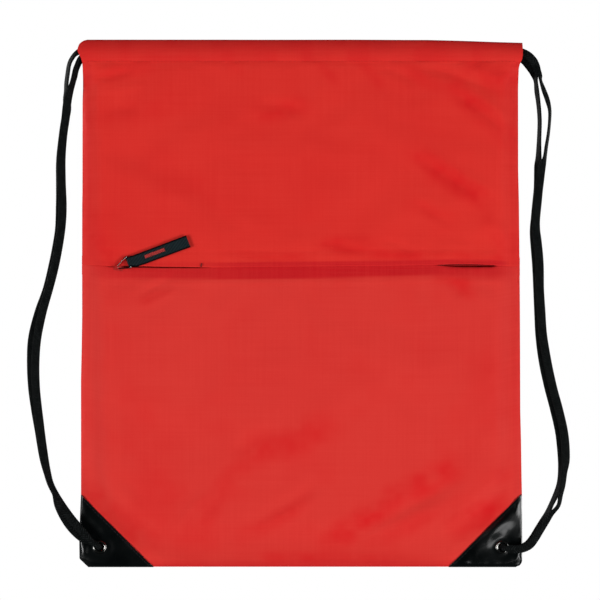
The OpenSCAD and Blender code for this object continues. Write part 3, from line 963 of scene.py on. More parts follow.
# lip rows, across the fold: set-in, distance from the lip's edge
UPPER_LIP = [(0.92, 7.5), (0.92, 4.2), (0.9, 1.4), (0.78, 0.35), (0.45, 0.0), (0.14, 0.22),
             (0.0, 0.75)]
LOWER_LIP = [(0.12, 0.35), (0.4, 0.0), (0.85, 0.15), (1.05, 1.2), (1.1, 4.0), (1.1, 8.0)]
UPPER_SPAN = 161.6       # panel length from the zip to the casing
LOWER_SPAN = 237.4       # from the bottom to the zip
PANEL_TOP = 402.0


def front_upper(side, tag):
    """Hem inside, round the lip, up the panel, and over the casing."""
    share = across(side)
    lip_x = share_x(share, ZIP_Z + 1.0)
    line = zip_line(lip_x)
    gap = gape(lip_x)
    face = front_y(share, lip_x, line + 1.0)
    sag = ramp(gap, 0.2, 0.9)
    rows = [(lip_x, -(face - set_in + 0.25 * sag), line + gap + up) for set_in, up in UPPER_LIP]
    for up in np.concatenate([[0.0], np.arange(2.0, 158.0, STEP), [160.0, UPPER_SPAN]]):
        part = up / UPPER_SPAN
        z = (line + gap + 1.3) * (1 - part) + PANEL_TOP * part
        x = share_x(share, z)
        pinch = 0.40 * ramp(z, 399.5, STITCH_Z)
        rows.append((x, -(front_y(share, x, z) - pinch), z))
    x, y, z, level, wear = with_casing(rows, share, 0)
    wear[3:7] = 0.25
    # painted shade: a band above the zip where the hem lies double, weaker to the left, and beside the
    # side seams
    hem = 4.4 + 0.5 * noise(x, 0, 40, 161)
    fade = 0.35 + 0.65 * ramp(x, -90, -40)
    layer = 0.80 * fade * ramp(hem + 0.7 - (z - zip_line(x)), 0, 1.4)
    layer = layer * ramp(168 - np.abs(x), 0, 10)
    layer = np.maximum(layer, 0.22 * side_seam_shade(x, z))
    # painted shade over the casing, darker towards its top
    casing = (0.18 + 0.08 * ramp(level + 0.5 * noise(x, 0, 30, 163), 409.2, 412.2)
              + 0.05 * noise(x, level, 12, 164))
    layer = np.where(level > CASING_FROM, np.clip(casing, 0, 1), layer)
    casing_deep = 0.35 * np.clip(0.4 + noise(x, level * 0.5, 9, 176), 0, 1)
    deep = np.where(level > CASING_FROM, casing_deep, crease_shade(x, z))
    ob = sheet("front_upper_" + tag, np.stack([x, y, z], -1), CLOTH, RED, arc_rest(x, y, z),
               wear=wear, layer=layer, deep=deep)
    replaced = ("front_upper_panel", "front_casing") if side < 0 else ()
    attach(ob, "shell_fabric", *replaced, mouth=side)


def front_lower():
    """Up the panel, then over the lip and down inside."""
    share = np.concatenate([across(-1)[:-1], across(1)])
    lip_x = share_x(share, ZIP_Z - 1.0)
    line = zip_line(lip_x)
    gap = gape(lip_x)
    rows = []
    levels = [[0.0, 0.6, 1.3], np.arange(2.2, 234.0, STEP), [236.0, LOWER_SPAN]]
    for up in np.concatenate(levels):
        # the rows bend to the zip line near the top
        z = up + (line - gap + lap(lip_x) - 0.9 - LOWER_SPAN) * (up / LOWER_SPAN) ** 6
        x = share_x(share, z)
        z = lifted(x, z)
        rows.append((x, -front_y(share, x, z), z))
    face = front_y(share, lip_x, line - 0.5)
    sag = ramp(gap, 0.3, 0.9)
    for set_in, down in LOWER_LIP:
        rows.append((lip_x, -(face - set_in - 0.35 * sag), line - gap + lap(lip_x) - down))
    x, y, z = np.array(rows).transpose(1, 0, 2)
    wear = np.zeros_like(x)
    # painted highlight along the lower lip's edge
    wear[-5:-3] = 0.25
    # a band of painted shade below the zip, under the upper lip where the cloth lies double: its
    # depth, the softness of its edge, its strength
    low = 8.9 + 0.7 * np.interp(x, [-170, -80, 0, 100, 170], [1.0, 0.2, 0.2, -1.2, 1.2])
    soft = np.interp(x, [-170, -100, -60, 60, 95, 125, 150], [4.5, 3.5, 1.1, 1.3, 3.5, 9.0, 11.0])
    band = np.interp(x, [-172, -160, -145, -110, -70, -30, 80, 120, 150, 165, 172],
                     [0.1, 0.3, 0.55, 0.75, 0.85, 1.0, 0.95, 0.85, 0.80, 0.45, 0.25])
    layer = band * ramp(low + soft / 2 - (zip_line(x) - z), 0, soft)
    # painted shade along the bottom edge
    layer = np.maximum(layer, 0.30 * ramp(6.2 - z, 0, 2.0) + 0.25 * ramp(2.4 - z, 0, 1.2))
    layer = np.maximum(layer, 0.16 * side_seam_shade(x, z))
    ob = sheet("front_lower", np.stack([x, y, z], -1), CLOTH, RED_LOW, arc_rest(x, y, z),
               keep=outside_eyelets(x, z), wear=wear, layer=layer, deep=crease_shade(x, z))
    attach(ob, "shell_fabric", "front_lower_panel")


def back(side, tag):
    share = across(side)
    rows = []
    levels = [[0.0, 0.6, 1.3], np.arange(2.2, 399.0, STEP), [400.6, PANEL_TOP]]
    for up in np.concatenate(levels):
        x = share_x(share, up)
        z = lifted(x, up)
        pinch = 0.35 * ramp(z, 399.5, STITCH_Z)
        rows.append((x, -(back_y(share, x, z) + pinch), z))
    x, y, z, level, wear = with_casing(rows, share, 1)
    # painted shade beside the side seams and along the bottom edge
    layer = 0.22 * side_seam_shade(x, z) + 0.25 * ramp(6.2 - z, 0, 2.0)
    # painted shade over the casing, darker towards its top
    casing = 0.31 + 0.08 * ramp(level, 409.2, 412.2) + 0.05 * noise(x, level, 12, 164)
    layer = np.where(level > CASING_FROM, casing, layer)
    ob = sheet("back_" + tag, np.stack([x, y, z], -1), CLOTH, RED, arc_rest(x, y, z, -1),
               flip=True, keep=outside_eyelets(x, z), wear=wear, layer=layer)
    replaced = ("back_panel", "back_casing") if side < 0 else ()
    attach(ob, "shell_fabric", *replaced, mouth=side)


for side, tag in SIDES:
    front_upper(side, tag)
    back(side, tag)
front_lower()


# ---------------------------------------------------------------- pocket lining, seam allowances
def lining():
    full_x = np.linspace(-140, 140, 90)
    rows = []
    for z in np.concatenate([np.arange(36, 250, 4.0), [251.5, 253.2]]):
        x = full_x * (1 - 0.3 * np.clip(1 - (z - 38) / 44, 0, 1))    # narrower at the bottom
        y = -(12.7 + 0.5 * noise(x, z, 30, 91) + 0.25 * noise(x, z, 12, 92))
        rows.append((x, y, np.full_like(x, z)))
    # its top turns forward: depth, height
    for depth, z in [(13.4, 253.9), (14.6, 254.1), (16.6, 253.9), (18.2, 253.4), (18.7, 251.5)]:
        rows.append((full_x, np.full_like(full_x, -depth), z + 0.1 * noise(full_x, 0, 9, 93)))
    ob = add_mesh("pocket_lining_sheet", np.array(rows).transpose(0, 2, 1),
                  grid_faces(len(rows), len(full_x)), RED_LINING)
    thicken(ob, 0.25)
    attach(ob, "lining_fabric", "pocket_lining")


def side_allowance(side, tag):
    """Seam edge inside the bag: a wavy strip."""
    z = np.arange(66, 386, 3.0)
    edge = edge_left(z) if side < 0 else edge_right(z)
    inner = edge - 8.0 + 0.5 * noise(z, 0, 11, 95 + side)
    part = np.linspace(0, 1, 6)
    x = side * (edge[:, None] - 1.6 + (inner - edge + 1.6)[:, None] * part)
    wave = (0.9 * noise(z, 0, 17, 97 + side))[:, None] * part * 0.7
    depth = seam_depth(z)[:, None] + 0.2 + wave
    points = np.stack([x, -depth, np.repeat(z[:, None], 6, 1)], -1)
    ob = sheet("side_allowance_" + tag, points, 0.5, RED_TAPE, points, flip=side > 0)
    attach(ob, "seam_tape", "side_seam_" + tag, mouth=side)


def bottom_allowance():
    x = np.arange(-114, 114.1, 3.0)
    part = np.linspace(0, 1, 5)[None, :]
    z = 1.4 + part * (4.6 + 0.4 * noise(x, 0, 12, 99))[:, None]
    y = -(1.35 + 0.45 * part + 0.2 * noise(x, 0, 15, 98)[:, None] * part)
    ob = add_mesh("bottom_allowance", np.stack([np.repeat(x[:, None], 5, 1), y, z], -1),
                  grid_faces(len(x), 5), RED_TAPE)
    thicken(ob, 0.3, offset=0.0)
    attach(ob, "seam_tape", "bottom_seam")


lining()
for side, tag in SIDES:
    side_allowance(side, tag)
bottom_allowance()


# ---------------------------------------------------------------- corner patches
def patch_form(side, out, z):
    """Depth of the front patch at out from the middle: lifted cut edge, a fold and swells."""
    x = side * out
    inside = -inside_patch(x, z)                  # in from the long edge
    run = (out - PATCH_TOE + z) / 2               # 0 at the long edge's foot, 58 at its top
    depth = depth_front(x, np.maximum(z, 0)) + 0.55 + 0.32 * np.exp(-(inside / 5.0))
    if side > 0:
        crest = 4.4 + 0.02 * (run - 38) + 0.4 * np.sin(run / 6.0)
        fold = np.where(inside < crest, bell(inside - crest, 3.2), bell(inside - crest, 7.2))
        depth = depth + 3.0 * fold * bell(run - 35.0, 14.5)
        # swells: out, z, width, height, amount
        for at_out, at_z, width, height, amount in (
                (172.5, 49, 2.2, 5.5, 0.9), (173, 9.5, 2.0, 4, 0.7), (131, 4.5, 4.0, 2.6, 0.6)):
            depth = depth + amount * bell(out - at_out, width) * bell(z - at_z, height)
    else:
        fold = bell(inside - 5.5 - 0.8 * np.sin(run / 5.0), 4.2)
        depth = depth + 0.9 * fold * bell(run - 40, 12.0)
        depth = depth + 0.9 * bell(out - 172.8, 2.4) * bell(z - 13.5, 4)
    coarse, ring_swell = (0.30, 0.2) if side < 0 else (0.20, 0.0)
    depth = depth + coarse * noise(x, z, 13, 111 + side) + 0.12 * noise(x, z, 5.5, 113 + side)
    from_eye = eye_distance(out, z)
    return depth - 0.40 * bell(from_eye - 7.5, 3.2) + ring_swell * bell(from_eye - 12.5, 3.0)


def clean(mesh):
    """Merge the points that meet at the patch's tip."""
    work = bmesh.new()
    work.from_mesh(mesh)
    bmesh.ops.remove_doubles(work, verts=work.verts, dist=2e-5)
    bmesh.ops.dissolve_degenerate(work, edges=work.edges, dist=1e-6)
    work.to_mesh(mesh)
    work.free()
    mesh.update()


def patch(side, tag, is_back):
    count = 70
    z = np.concatenate([[-0.35, -0.1], np.linspace(0, 1, count) * PATCH_LEG + 0.12])
    rows = len(z)
    above = np.maximum(z, 0)
    outer = (edge_left(above) if side < 0 else edge_right(above)) + 0.1
    inner = np.minimum(PATCH_TOE + above, outer - 0.02)
    part = np.linspace(0, 1, count) ** 0.9
    out = outer[:, None] + (inner - outer)[:, None] * part[None, :]
    z = np.repeat(z[:, None], count, 1)
    x = side * out
    from_edge = np.minimum(outer[:, None] - out, z + 0.35)
    from_eye = eye_distance(out, z)
    # level round the eyelet, reached from far to near; depth of the sewn edge, width of its roll
    if is_back:
        depth = -0.35 - 0.35 * noise(x, z, 14, 121 + side) * ramp(from_edge, 2, 10)
        level, near, far, edge_depth, roll = -0.05, 5.0, 7.0, 0.7, 2.4
    else:
        # gathers at the sewn side and bottom edges
        depth = patch_form(side, out, z)
        depth = depth + (0.30 * noise(z, x * 0.2, 4.2, 115 + side)
                         * np.exp(-((outer[:, None] - out) / 4.0)) * (z > 3))
        depth = depth + (0.34 * noise(x, z * 0.2, 4.6, 117 + side)
                         * np.exp(-(np.maximum(z, 0) / 4.0)))
        level, near, far, edge_depth, roll = 4.0, 4.4, 6.2, 0.9, 1.3
    depth = np.where(from_eye < far, level + (depth - level) * ramp(from_eye, near, far), depth)
    depth = edge_depth + (depth - edge_depth) * np.sqrt(ramp(from_edge, 0, roll))
    faces = grid_faces(rows, count, flip=(side > 0) != is_back)
    points = np.stack([x, -depth, z], -1).reshape(-1, 3)
    # open the eyelet's hole
    centre = points[faces].mean(1)
    faces = faces[eye_distance(centre[:, 0], centre[:, 2]) > 3.9]
    used, index = used_points(faces, len(points))
    wear = np.exp(-from_edge / 0.9) * 0.5 + np.exp(inside_patch(x, z) / 0.8) * 0.35
    face_name = "back" if is_back else "front"
    ob = add_mesh("patch_%s_%s" % (face_name, tag), points[used], index[faces], VINYL,
                  wear=wear.ravel()[used])
    clean(ob.data)
    thicken(ob, 0.55)
    attach(ob, "patch_vinyl", "corner_patch_%s_%s" % (face_name, tag))


def stitches(name, path, out, material, length, gap, radius, lift):
    """Running stitch along path: each is a short thread with both ends sunk in the cloth.

    out is the y direction away from the cloth.
    """
    sink = 0.10
    run = run_length(path)
    bow = np.sin(np.linspace(0, math.pi, 7)) ** 0.5 * (lift + sink) - sink
    parts = []
    at = 0.6
    while at + length < run[-1]:
        thread = interp_rows(np.linspace(at, at + length, 7), run, path)
        thread[:, 1] += out * bow
        parts.append(tube(thread, radius, 6))
        at += length + gap
    return add_swept(name, parts, material)


def patch_stitches(side, tag):
    """Along the long edge, in front and behind."""
    along = np.linspace(0.035, 0.955, 120)
    out = PATCH_TOE + PATCH_LEG * along + 1.25
    z = PATCH_LEG * along - 1.25
    front = -patch_form(side, out, np.maximum(z, 0.1))
    for word, y, facing in (("", front, -1.0), ("back_", np.full_like(z, 0.38), 1.0)):
        path = np.stack([side * out, y, z], -1)[z > 0.6]
        ob = stitches("patch_stitch_" + word + tag, path, facing, THREAD_BLACK,
                      length=2.3, gap=0.8, radius=0.2, lift=0.16)
        attach(ob, "cord_braid")


def casing_stitches(side, tag):
    share = np.linspace(0.0, 0.985, 400) * side
    if side < 0:
        share = share[::-1]
    z = np.full_like(share, STITCH_Z - 0.1)
    x = share_x(share, z)
    front = -(DEPTH - 0.42 + 0.1 * casing_ripple(x, z, 0))
    for word, y, facing in (("front", front, -1.0), ("back", np.full_like(x, -0.42), 1.0)):
        ob = stitches("casing_stitch_%s_%s" % (word, tag), np.stack([x, y, z], -1), facing,
                      THREAD_RED, length=2.4, gap=0.7, radius=0.15, lift=0.14)
        attach(ob, "red_thread", mouth=side)


for side, tag in SIDES:
    for is_back in (False, True):
        patch(side, tag, is_back)
for side, tag in SIDES:
    patch_stitches(side, tag)
for side, tag in SIDES:
    casing_stitches(side, tag)

# ---------------------------------------------------------------- eyelets
# radius, y: the domed flange in front, then the barrel through to the back
EYELET = [(3.02, -3.2), (3.05, -3.9), (3.2, -4.35), (3.5, -4.68), (3.85, -4.9), (4.25, -5.02),
          (4.6, -5.0), (4.9, -4.88), (5.15, -4.66), (5.3, -4.42), (5.35, -4.2), (5.3, -4.0),
          (3.62, -4.0), (3.62, 0.55), (3.02, 0.62)]


def eyelet(side, tag):
    points, faces = lathe(EYELET, side * EYE_X, EYE_Z)
    attach(add_mesh("eyelet_ring_" + tag, points, faces, NICKEL), "nickel", "eyelet_" + tag)


def eyelet_washer(side, tag):
    """Domed washer behind, its inner part rippled in six lobes."""
    inner, outer, foot, rise = 3.7, 5.4, 0.35, 0.55
    middle, half = (inner + outer) / 2, (outer - inner) / 2
    dome = [(middle - half * math.cos(angle), foot + rise * math.sin(angle) ** 0.8)
            for angle in np.linspace(0, math.pi, 13)[1:]]
    points, faces = lathe([(3.66, 0.1), (3.66, 0.62)] + dome + [(outer, 0.1)],
                          side * EYE_X, EYE_Z)
    x, z = points[:, 0] - side * EYE_X, points[:, 2] - EYE_Z
    ripple = 0.10 * np.cos(6 * np.arctan2(z, x))
    points[:, 1] += ripple * (np.hypot(z, x) < 4.6) * (points[:, 1] > 0.5)
    ob = add_mesh("eyelet_washer_ring_" + tag, points, faces, NICKEL)
    attach(ob, "nickel", "eyelet_washer_" + tag)


for side, tag in SIDES:
    eyelet(side, tag)
    eyelet_washer(side, tag)


# ---------------------------------------------------------------- cords
def spread(rows, heights, amounts):
    """Move the two strands of each row apart by the amount read at its height."""
    result = []
    for z, inner, inner_turn, outer, outer_turn in rows:
        apart = float(np.interp(z, heights, amounts))
        result.append((z, inner - apart, inner_turn, outer + apart, outer_turn))
    return result


# the hanging cords: height, then for the inner and the outer strand the distance out from the
# middle and the turn of the flat cord in degrees
LEFT_HANG = spread([
    (395.4, 179.0, 50, 186.3, 58), (391.0, 180.0, 50, 186.9, 58), (386, 181.4, 52, 187.4, 58),
    (380, 183.3, 44, 187.4, 54), (373.5, 185.2, 16, 187.2, 30), (366, 186.4, 0, 186.5, 4),
    (358, 187.3, 0, 187.7, 0), (345, 189.3, 0, 189.7, 0), (326, 191.0, 0, 191.4, 0),
    (307, 191.7, 4, 190.9, 0), (288, 191.6, 0, 190.3, -6), (273, 192.2, 0, 190.9, -6),
    (259, 194.0, 0, 192.9, 0), (240, 197.4, 0, 196.9, 6), (221, 202.0, 0, 201.8, 8),
    (202, 207.6, 8, 208.2, 0), (183, 211.8, 8, 212.4, 0), (164, 213.5, 0, 213.2, 4),
    (145, 213.0, 0, 212.7, 0), (126, 210.9, 0, 210.4, 0), (107, 208.0, 0, 207.4, 4),
    (88, 205.2, 10, 204.6, 12), (78, 203.0, 30, 202.8, 32), (68, 200.2, 44, 200.2, 46),
    (59, 195.8, 46, 196.4, 46), (49, 190.1, 24, 193.8, 20), (39, 183.2, 6, 188.8, 4),
    (30.5, 176.0, 0, 182.6, 0), (23.5, 169.6, 0, 174.8, 0)],
    [54, 94, 134, 173, 213, 253, 293, 332], [-0.2, 0.85, 1.45, 2.0, 0.95, 1.4, 1.75, 0.0])
RIGHT_HANG = spread([
    (396.0, 185.2, 20, 187.6, 30), (391.5, 187.0, 48, 189.8, 56), (387.5, 187.6, 68, 190.4, 70),
    (380, 188.3, 62, 193.0, 56), (372, 189.3, 66, 196.0, 54), (364, 190.0, 68, 197.9, 66),
    (355, 190.3, 68, 197.8, 71), (345, 190.1, 67, 196.6, 70), (336, 190.0, 62, 195.0, 67),
    (326, 189.8, 48, 193.5, 60), (319, 189.6, 12, 191.4, 20), (308, 189.4, 0, 190.0, 4),
    (298, 188.8, 0, 188.8, 0), (279, 186.9, 22, 186.9, 18), (269, 186.3, 12, 186.6, 8),
    (259, 186.9, 0, 187.6, 0), (240, 188.4, 0, 189.0, 0), (221, 189.2, 0, 189.4, 0),
    (202, 190.0, 0, 190.6, 4), (183, 191.2, 4, 192.0, 0), (164, 194.0, 0, 194.9, 0),
    (145, 198.0, 0, 199.0, 0), (126, 203.0, 0, 204.1, 0), (107, 207.2, 0, 208.2, 4),
    (88, 209.2, 12, 209.7, 16), (76, 208.4, 42, 208.8, 46), (66, 206.8, 50, 207.8, 50),
    (58, 204.0, 54, 206.2, 54), (49.5, 199.9, 62, 204.7, 60), (43, 197.0, 52, 199.6, 54),
    (37, 193.6, 36, 195.4, 40), (30, 189.4, 20, 190.6, 24), (23.5, 185.4, 12, 186.6, 16),
    (18.0, 180.8, 4, 182.2, 6), (15.3, 175.4, 0, 176.4, 0), (14.7, 171.0, 0, 171.2, 0)],
    [20, 54, 94, 134, 173, 213, 253, 293, 332, 350],
    [0.0, 0.5, 1.3, 1.2, 1.0, 0.75, 0.9, 0.35, 0.4, 0.0])

RUN_Z = (407.6, 413.2)               # height in the casing of strands 0 (inner) and 1 (outer)
RUN_Y_FRONT, RUN_Y_BACK = -17.15, -2.85

# from the casing's end to the hanging rows, for each side and strand: distance out, y from
# the run's, height, turn
ENTRY = {
    (-1, 0): [(168, 0, 407.6, 0), (173.0, 0, 405.8, 16), (175.8, 0.2, 403.0, 42),
              (177.6, 0.6, 399.4, 50)],
    (-1, 1): [(168, 0, 412.2, 0), (174.5, 0, 412.6, 26), (180.1, 0, 409.8, 52),
              (183.6, -0.3, 405.2, 57), (185.4, -0.8, 400.6, 59)],
    (1, 0): [(166, 0, 407.6, 0), (173.5, 0, 407.7, 0), (178.2, -0.2, 404.8, 0),
             (182.0, -0.6, 400.4, 6)],
    (1, 1): [(166, 0, 411.7, 0), (174.5, 0, 410.2, 0), (180.2, 0, 407.6, 0),
             (184.2, 0.4, 403.6, 4), (186.4, 0.8, 399.6, 14)]}
# heights of the last two points before the eyelet
TAIL_Z = {(-1, 0): (19.2, 17.4), (-1, 1): (19.6, 17.6), (1, 0): (14.6, 15.0),
          (1, 1): (14.7, 15.0)}


def braid_bump(along, across_w, across_t):
    """Herringbone of a flat braid: two rows of slanting strands that meet along the middle."""
    from_middle = np.abs(across_w) * CORD_HALF_W
    face_shift = np.where(across_t > 0, 1, -1) * 0.4 * STRAND_PITCH
    phase = (along + face_shift) / STRAND_PITCH + from_middle / STRAND_SLANT
    strand = np.abs(np.cos(math.pi * phase)) ** 0.7
    return 0.17 * (strand - 0.6) - 0.10 * bell(np.abs(across_w), 0.10)


def strand_y(z, is_front):
    """The strands leave the casing apart, draw together, and come forward or back below."""
    top, drawn, low = (-17.2, 6.0, 2.3) if is_front else (-2.9, -6.0, 2.5)
    return float(top + drawn * (1 - ramp(z, 330, 400)) + low * (1 - ramp(z, 30, 85)))


def hanging_strand(side, k, is_front):
    """One strand from the casing's end, down beside the bag, to behind the eyelet."""
    table = LEFT_HANG if side < 0 else RIGHT_HANG
    run_y = RUN_Y_FRONT if is_front else RUN_Y_BACK
    rows = [(side * out, run_y + y, z, turn) for out, y, z, turn in ENTRY[side, k]]
    rows += [(side * row[1 + 2 * k], strand_y(row[0], is_front), row[0], row[2 + 2 * k])
             for row in table]
    lean = 1.0 if is_front else -1.0
    tail_y = (-7.4, -7.0, -5.2) if is_front else (-5.8, -5.4, -4.4)
    tail_z = TAIL_Z[side, k]
    hole_z = EYE_Z + 1.0 * lean
    rows += [(side * 165.6, tail_y[0], tail_z[0], 0), (side * 162.8, tail_y[1], tail_z[1], 0),
             (side * (161.0 - 0.3 * lean), tail_y[2], 15.9 + 0.7 * lean, 0)]
    rows += [(side * EYE_X, y, hole_z, 0) for y in (-3.2, 0.0, 2.4)]
    path, run = resample(spline(rows, 10), 0.42)
    centres = path[:, :3]
    tangent = unit(np.gradient(centres, axis=0))
    turn = np.radians(path[:, 3])
    flat = unit(np.cross(tangent, -FORWARD), floor=1e-6)
    wide = flat * np.cos(turn)[:, None] - FORWARD[None, :] * (np.sin(turn) * lean)[:, None]
    # carry the width direction on where the cord turns into the eyelet
    steep = np.nonzero((np.abs(tangent[:, 1]) > 0.4) & (np.abs(centres[:, 0]) < 166))[0]
    if len(steep):
        for q in range(steep[0], len(centres)):
            wide[q] = unit(wide[q - 1] - (wide[q - 1] @ tangent[q]) * tangent[q])
    from_eye = eye_distance(centres[:, 0], centres[:, 2])
    squeeze = 1 - ramp(from_eye, 2.5, 16 if side < 0 else 7)
    half_w = CORD_HALF_W * (1 - 0.36 * squeeze) * (1 + 0.03 * noise(run, 0, 23, 131 + k))
    half_t = CORD_HALF_T * (1 + 0.16 * squeeze)
    wobble = 0.18 * noise(run, 0, 19, 133 + k + side)[:, None] * flat
    points, faces, rest = sweep(centres + wobble, wide, half_w, half_t, 20,
                                run, bump=braid_bump)
    rest[:, 0] += 697 * k            # the second strand's braid starts elsewhere
    return points, faces, rest


def casing_run(side, front_z, back_z):
    """In at this side's front, round the far end, and back out at the rear."""
    angle = np.radians(np.arange(0, 181, 10.0))
    z = front_z + (back_z - front_z) * ramp(np.degrees(angle), 35, 145)
    bend = np.stack([-side * (171.6 + 3.6 * np.sin(angle)), -10 - 7.15 * np.cos(angle),
                     z - 1.2 * np.sin(angle)], -1)
    stations = [side * 168.5, side * 150, 0, -side * 164]
    front = [[x, RUN_Y_FRONT, front_z] for x in stations]
    rear = [[x, RUN_Y_BACK, back_z] for x in stations[::-1]]
    # the outer strand's end dips a little
    if side > 0:
        front[0][2] -= 1.1
    else:
        rear[-1][2] -= 1.0
    line, run = resample(np.concatenate([front, bend, rear]), 1.2)
    half_w = np.where(np.abs(line[:, 0]) > 172, 3.1, 2.75)
    points, faces, rest = sweep(line, [0, 0, 1.0], half_w, 0.72, 16, run, bump=braid_bump)
    rest[:, 0] += 1496.5
    return points, faces, rest


def cord(side, tag):
    front_strand = 0 if side < 0 else 1
    parts = [hanging_strand(side, k, k == front_strand) for k in (0, 1)]
    parts.append(casing_run(side, RUN_Z[front_strand], RUN_Z[1 - front_strand]))
    ob = add_swept("cord_" + tag, parts, CORD)
    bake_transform(ob)
    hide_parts(tag + "_cord_run", tag + "_strap")


def knot(side, tag):
    """Overhand stopper knot behind the eyelet, with two short cut ends."""
    angle = np.linspace(0, 2 * math.pi, 200)
    trefoil = np.stack([(np.sin(angle) + 2 * np.sin(2 * angle)) * 1.12,
                        -np.sin(3 * angle) * 1.15,
                        (np.cos(angle) - 2 * np.cos(2 * angle)) * 1.12], -1)
    loop, run = resample(trefoil, 0.35)
    parts = [sweep(loop + np.array([side * EYE_X, 4.6, EYE_Z]), [0, 1.0, 0.3], 1.65, 1.05, 14,
                   run, bump=lambda *at: 0.6 * braid_bump(*at), caps=False)]
    for k, (aside, drop) in enumerate(((1.9, 14.0), (-1.9, 12.0))):
        top = np.array([side * EYE_X + aside * 0.6, 5.2, EYE_Z - 1.0])
        end = np.array([side * EYE_X + aside * 1.7 + side * 3.2, 5.6 + 0.5 * k, EYE_Z - drop])
        middle = (top + end) / 2 + np.array([aside * 0.5, 0.9, 0])
        line, run = resample(spline([top, middle, end], 12), 0.4)
        half_w = np.interp(run / run[-1], [0, 0.3, 0.9, 1], [1.6, 2.5, 2.9, 3.2]) * 0.8
        parts.append(sweep(line, [1.0, 0.25 * (-1) ** k, 0], half_w, 0.75, 16, run,
                           bump=lambda *at: 0.7 * braid_bump(*at)))
    # the two strands as they come through the eyelet into the knot
    for lean in (1, -1):
        x = side * (EYE_X - 0.4 * lean)
        line = np.array([[x, 1.4, EYE_Z + 0.8 * lean], [x, 3.0, EYE_Z + 0.8 * lean],
                         [side * EYE_X, 4.6, EYE_Z + 1.2 * lean]])
        line, run = resample(line, 0.4)
        parts.append(sweep(line, [1.0, 0, 0], 1.5, 0.95, 12, run))
    attach(add_swept("knot_" + tag, parts, CORD), "cord_braid", tag + "_cord_knot")


for side, tag in SIDES:
    cord(side, tag)
    knot(side, tag)


# ---------------------------------------------------------------- zip
# tape rows: distance from the zip's middle, depth
TAPE_START = [(0.95, 17.2), (1.6, 17.05), (2.4, 17.0)]
TAPES = {"upper": TAPE_START + [(4.5, 17.4), (8.0, 17.9), (12.6, 17.9)],
         "lower": TAPE_START + [(4.5, 17.35), (8.0, 17.8), (12.6, 17.85)]}


def tape(word, up):
    x = np.arange(-153, 153.1, 2.0)
    wave = 0.12 * noise(x, 0, 14, 142 if up > 0 else 141)
    rows = [(x, np.full_like(x, -depth), ZIP_Z + up * away + wave) for away, depth in TAPES[word]]
    ob = add_mesh("zip_tape_%s_woven" % word, np.array(rows).transpose(0, 2, 1),
                  grid_faces(len(rows), len(x), flip=up < 0), RED_TAPE)
    thicken(ob, 0.45)
    attach(ob, "zip_tape", "zip_tape_" + word)


def coil(word, up):
    pitch, start = 1.5, -149
    x = np.arange(start, 148, pitch / (8))
    phase = 2 * math.pi * (x - start) / pitch
    z = ZIP_Z + up * (1.72 + 0.78 * np.cos(phase))
    y = -16.3 + 0.62 * np.sin(phase)
    ob = add_swept("zip_coil_%s_wound" % word, [tube(np.stack([x, y, z], -1), 0.26, 6)], COIL)
    attach(ob, "zip_coil", "zip_coil_" + word)


def zigzag(length, half, pitch, centre, lengthwise, sideways, radius, lift):
    """Close zigzag thread, length long, and half to each side."""
    count = int(length / pitch)
    corners = [centre + lengthwise * (-length / 2 + length * k / count)
               + sideways * half * (1 if k % 2 else -1) for k in range(count + 1)]
    path, run = resample(np.array(corners), 0.3)
    arch = np.abs(np.cos(math.pi * run / (run[-1] / count)))
    return tube(path + FORWARD * lift * arch[:, None], radius, 6)


def zip_tacks():
    """A bar of zigzag thread across each end of the zip."""
    parts = [zigzag(length=5.6, half=0.9, pitch=0.42, centre=np.array([x, y, ZIP_Z]),
                    lengthwise=np.array([0, 0, 1.0]), sideways=np.array([1.0, 0, 0]),
                    radius=0.2, lift=0.1) for x, y in ((-151.6, -16.7), (152.6, -17.3))]
    attach(add_swept("zip_tacks_thread", parts, RED_TAPE), "red_thread", "zip_tacks")


def thread_end():
    """A loose end of thread above the zip."""
    path = spline([(-79.4, -20.3, 239.5), (-79.3, -20.8, 240.3), (-79.0, -20.9, 241.3),
                   (-78.8, -20.5, 242.3)], 6)
    attach(add_swept("zip_thread_end", [tube(path, 0.30, 6)], THREAD_BLACK), "cord_braid")


def slider():
    """The frame's own slider, painted, with its edges eased."""
    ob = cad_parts["slider_body"]
    ob.data.materials.clear()
    ob.data.materials.append(PAINT)
    bevel = ob.modifiers.new("edges", "BEVEL")
    bevel.width = 0.0002
    bevel.segments = 2
    bevel.limit_method = "ANGLE"


for word, up in (("upper", 1), ("lower", -1)):
    tape(word, up)
    coil(word, up)
zip_tacks()
thread_end()
slider()


# ---------------------------------------------------------------- puller
def wire_ring():
    """Bent wire: a short bar in the slider, two legs, and the bar that carries the ribbon."""
    # corners: along the pull, across it
    corners = np.array([(0.0, -1.4), (0.0, 1.4), (9.3, 5.75), (9.3, -4.1)])
    bend, radius, sides = 0.9, 0.5, 12
    outline = []
    for k in range(4):
        before, here, after = (corners[(k + step) % 4] for step in (-1, 0, 1))
        for t in np.linspace(0, 1, 9):
            outline.append(here + unit(before - here) * bend * (1 - t) ** 2
                           + unit(after - here) * bend * t ** 2)
    outline.append(outline[0])
    path, _ = resample(np.array(outline), 0.18)
    centres = (PIVOT + path[:, :1] * ALONG + path[:, 1:2] * ACROSS)[:-1]
    tangent = unit(np.roll(centres, -1, 0) - np.roll(centres, 1, 0))
    out = np.cross(tangent, -FORWARD)
    angle = np.linspace(0, 2 * math.pi, sides, endpoint=False)[None, :, None]
    points = centres[:, None] + radius * (np.cos(angle) * out[:, None] - np.sin(angle) * FORWARD)
    ob = add_mesh("pull_ring_wire", points, torus_faces(len(centres), sides), NICKEL)
    attach(ob, "nickel", "pull_ring", body="pull_ring")


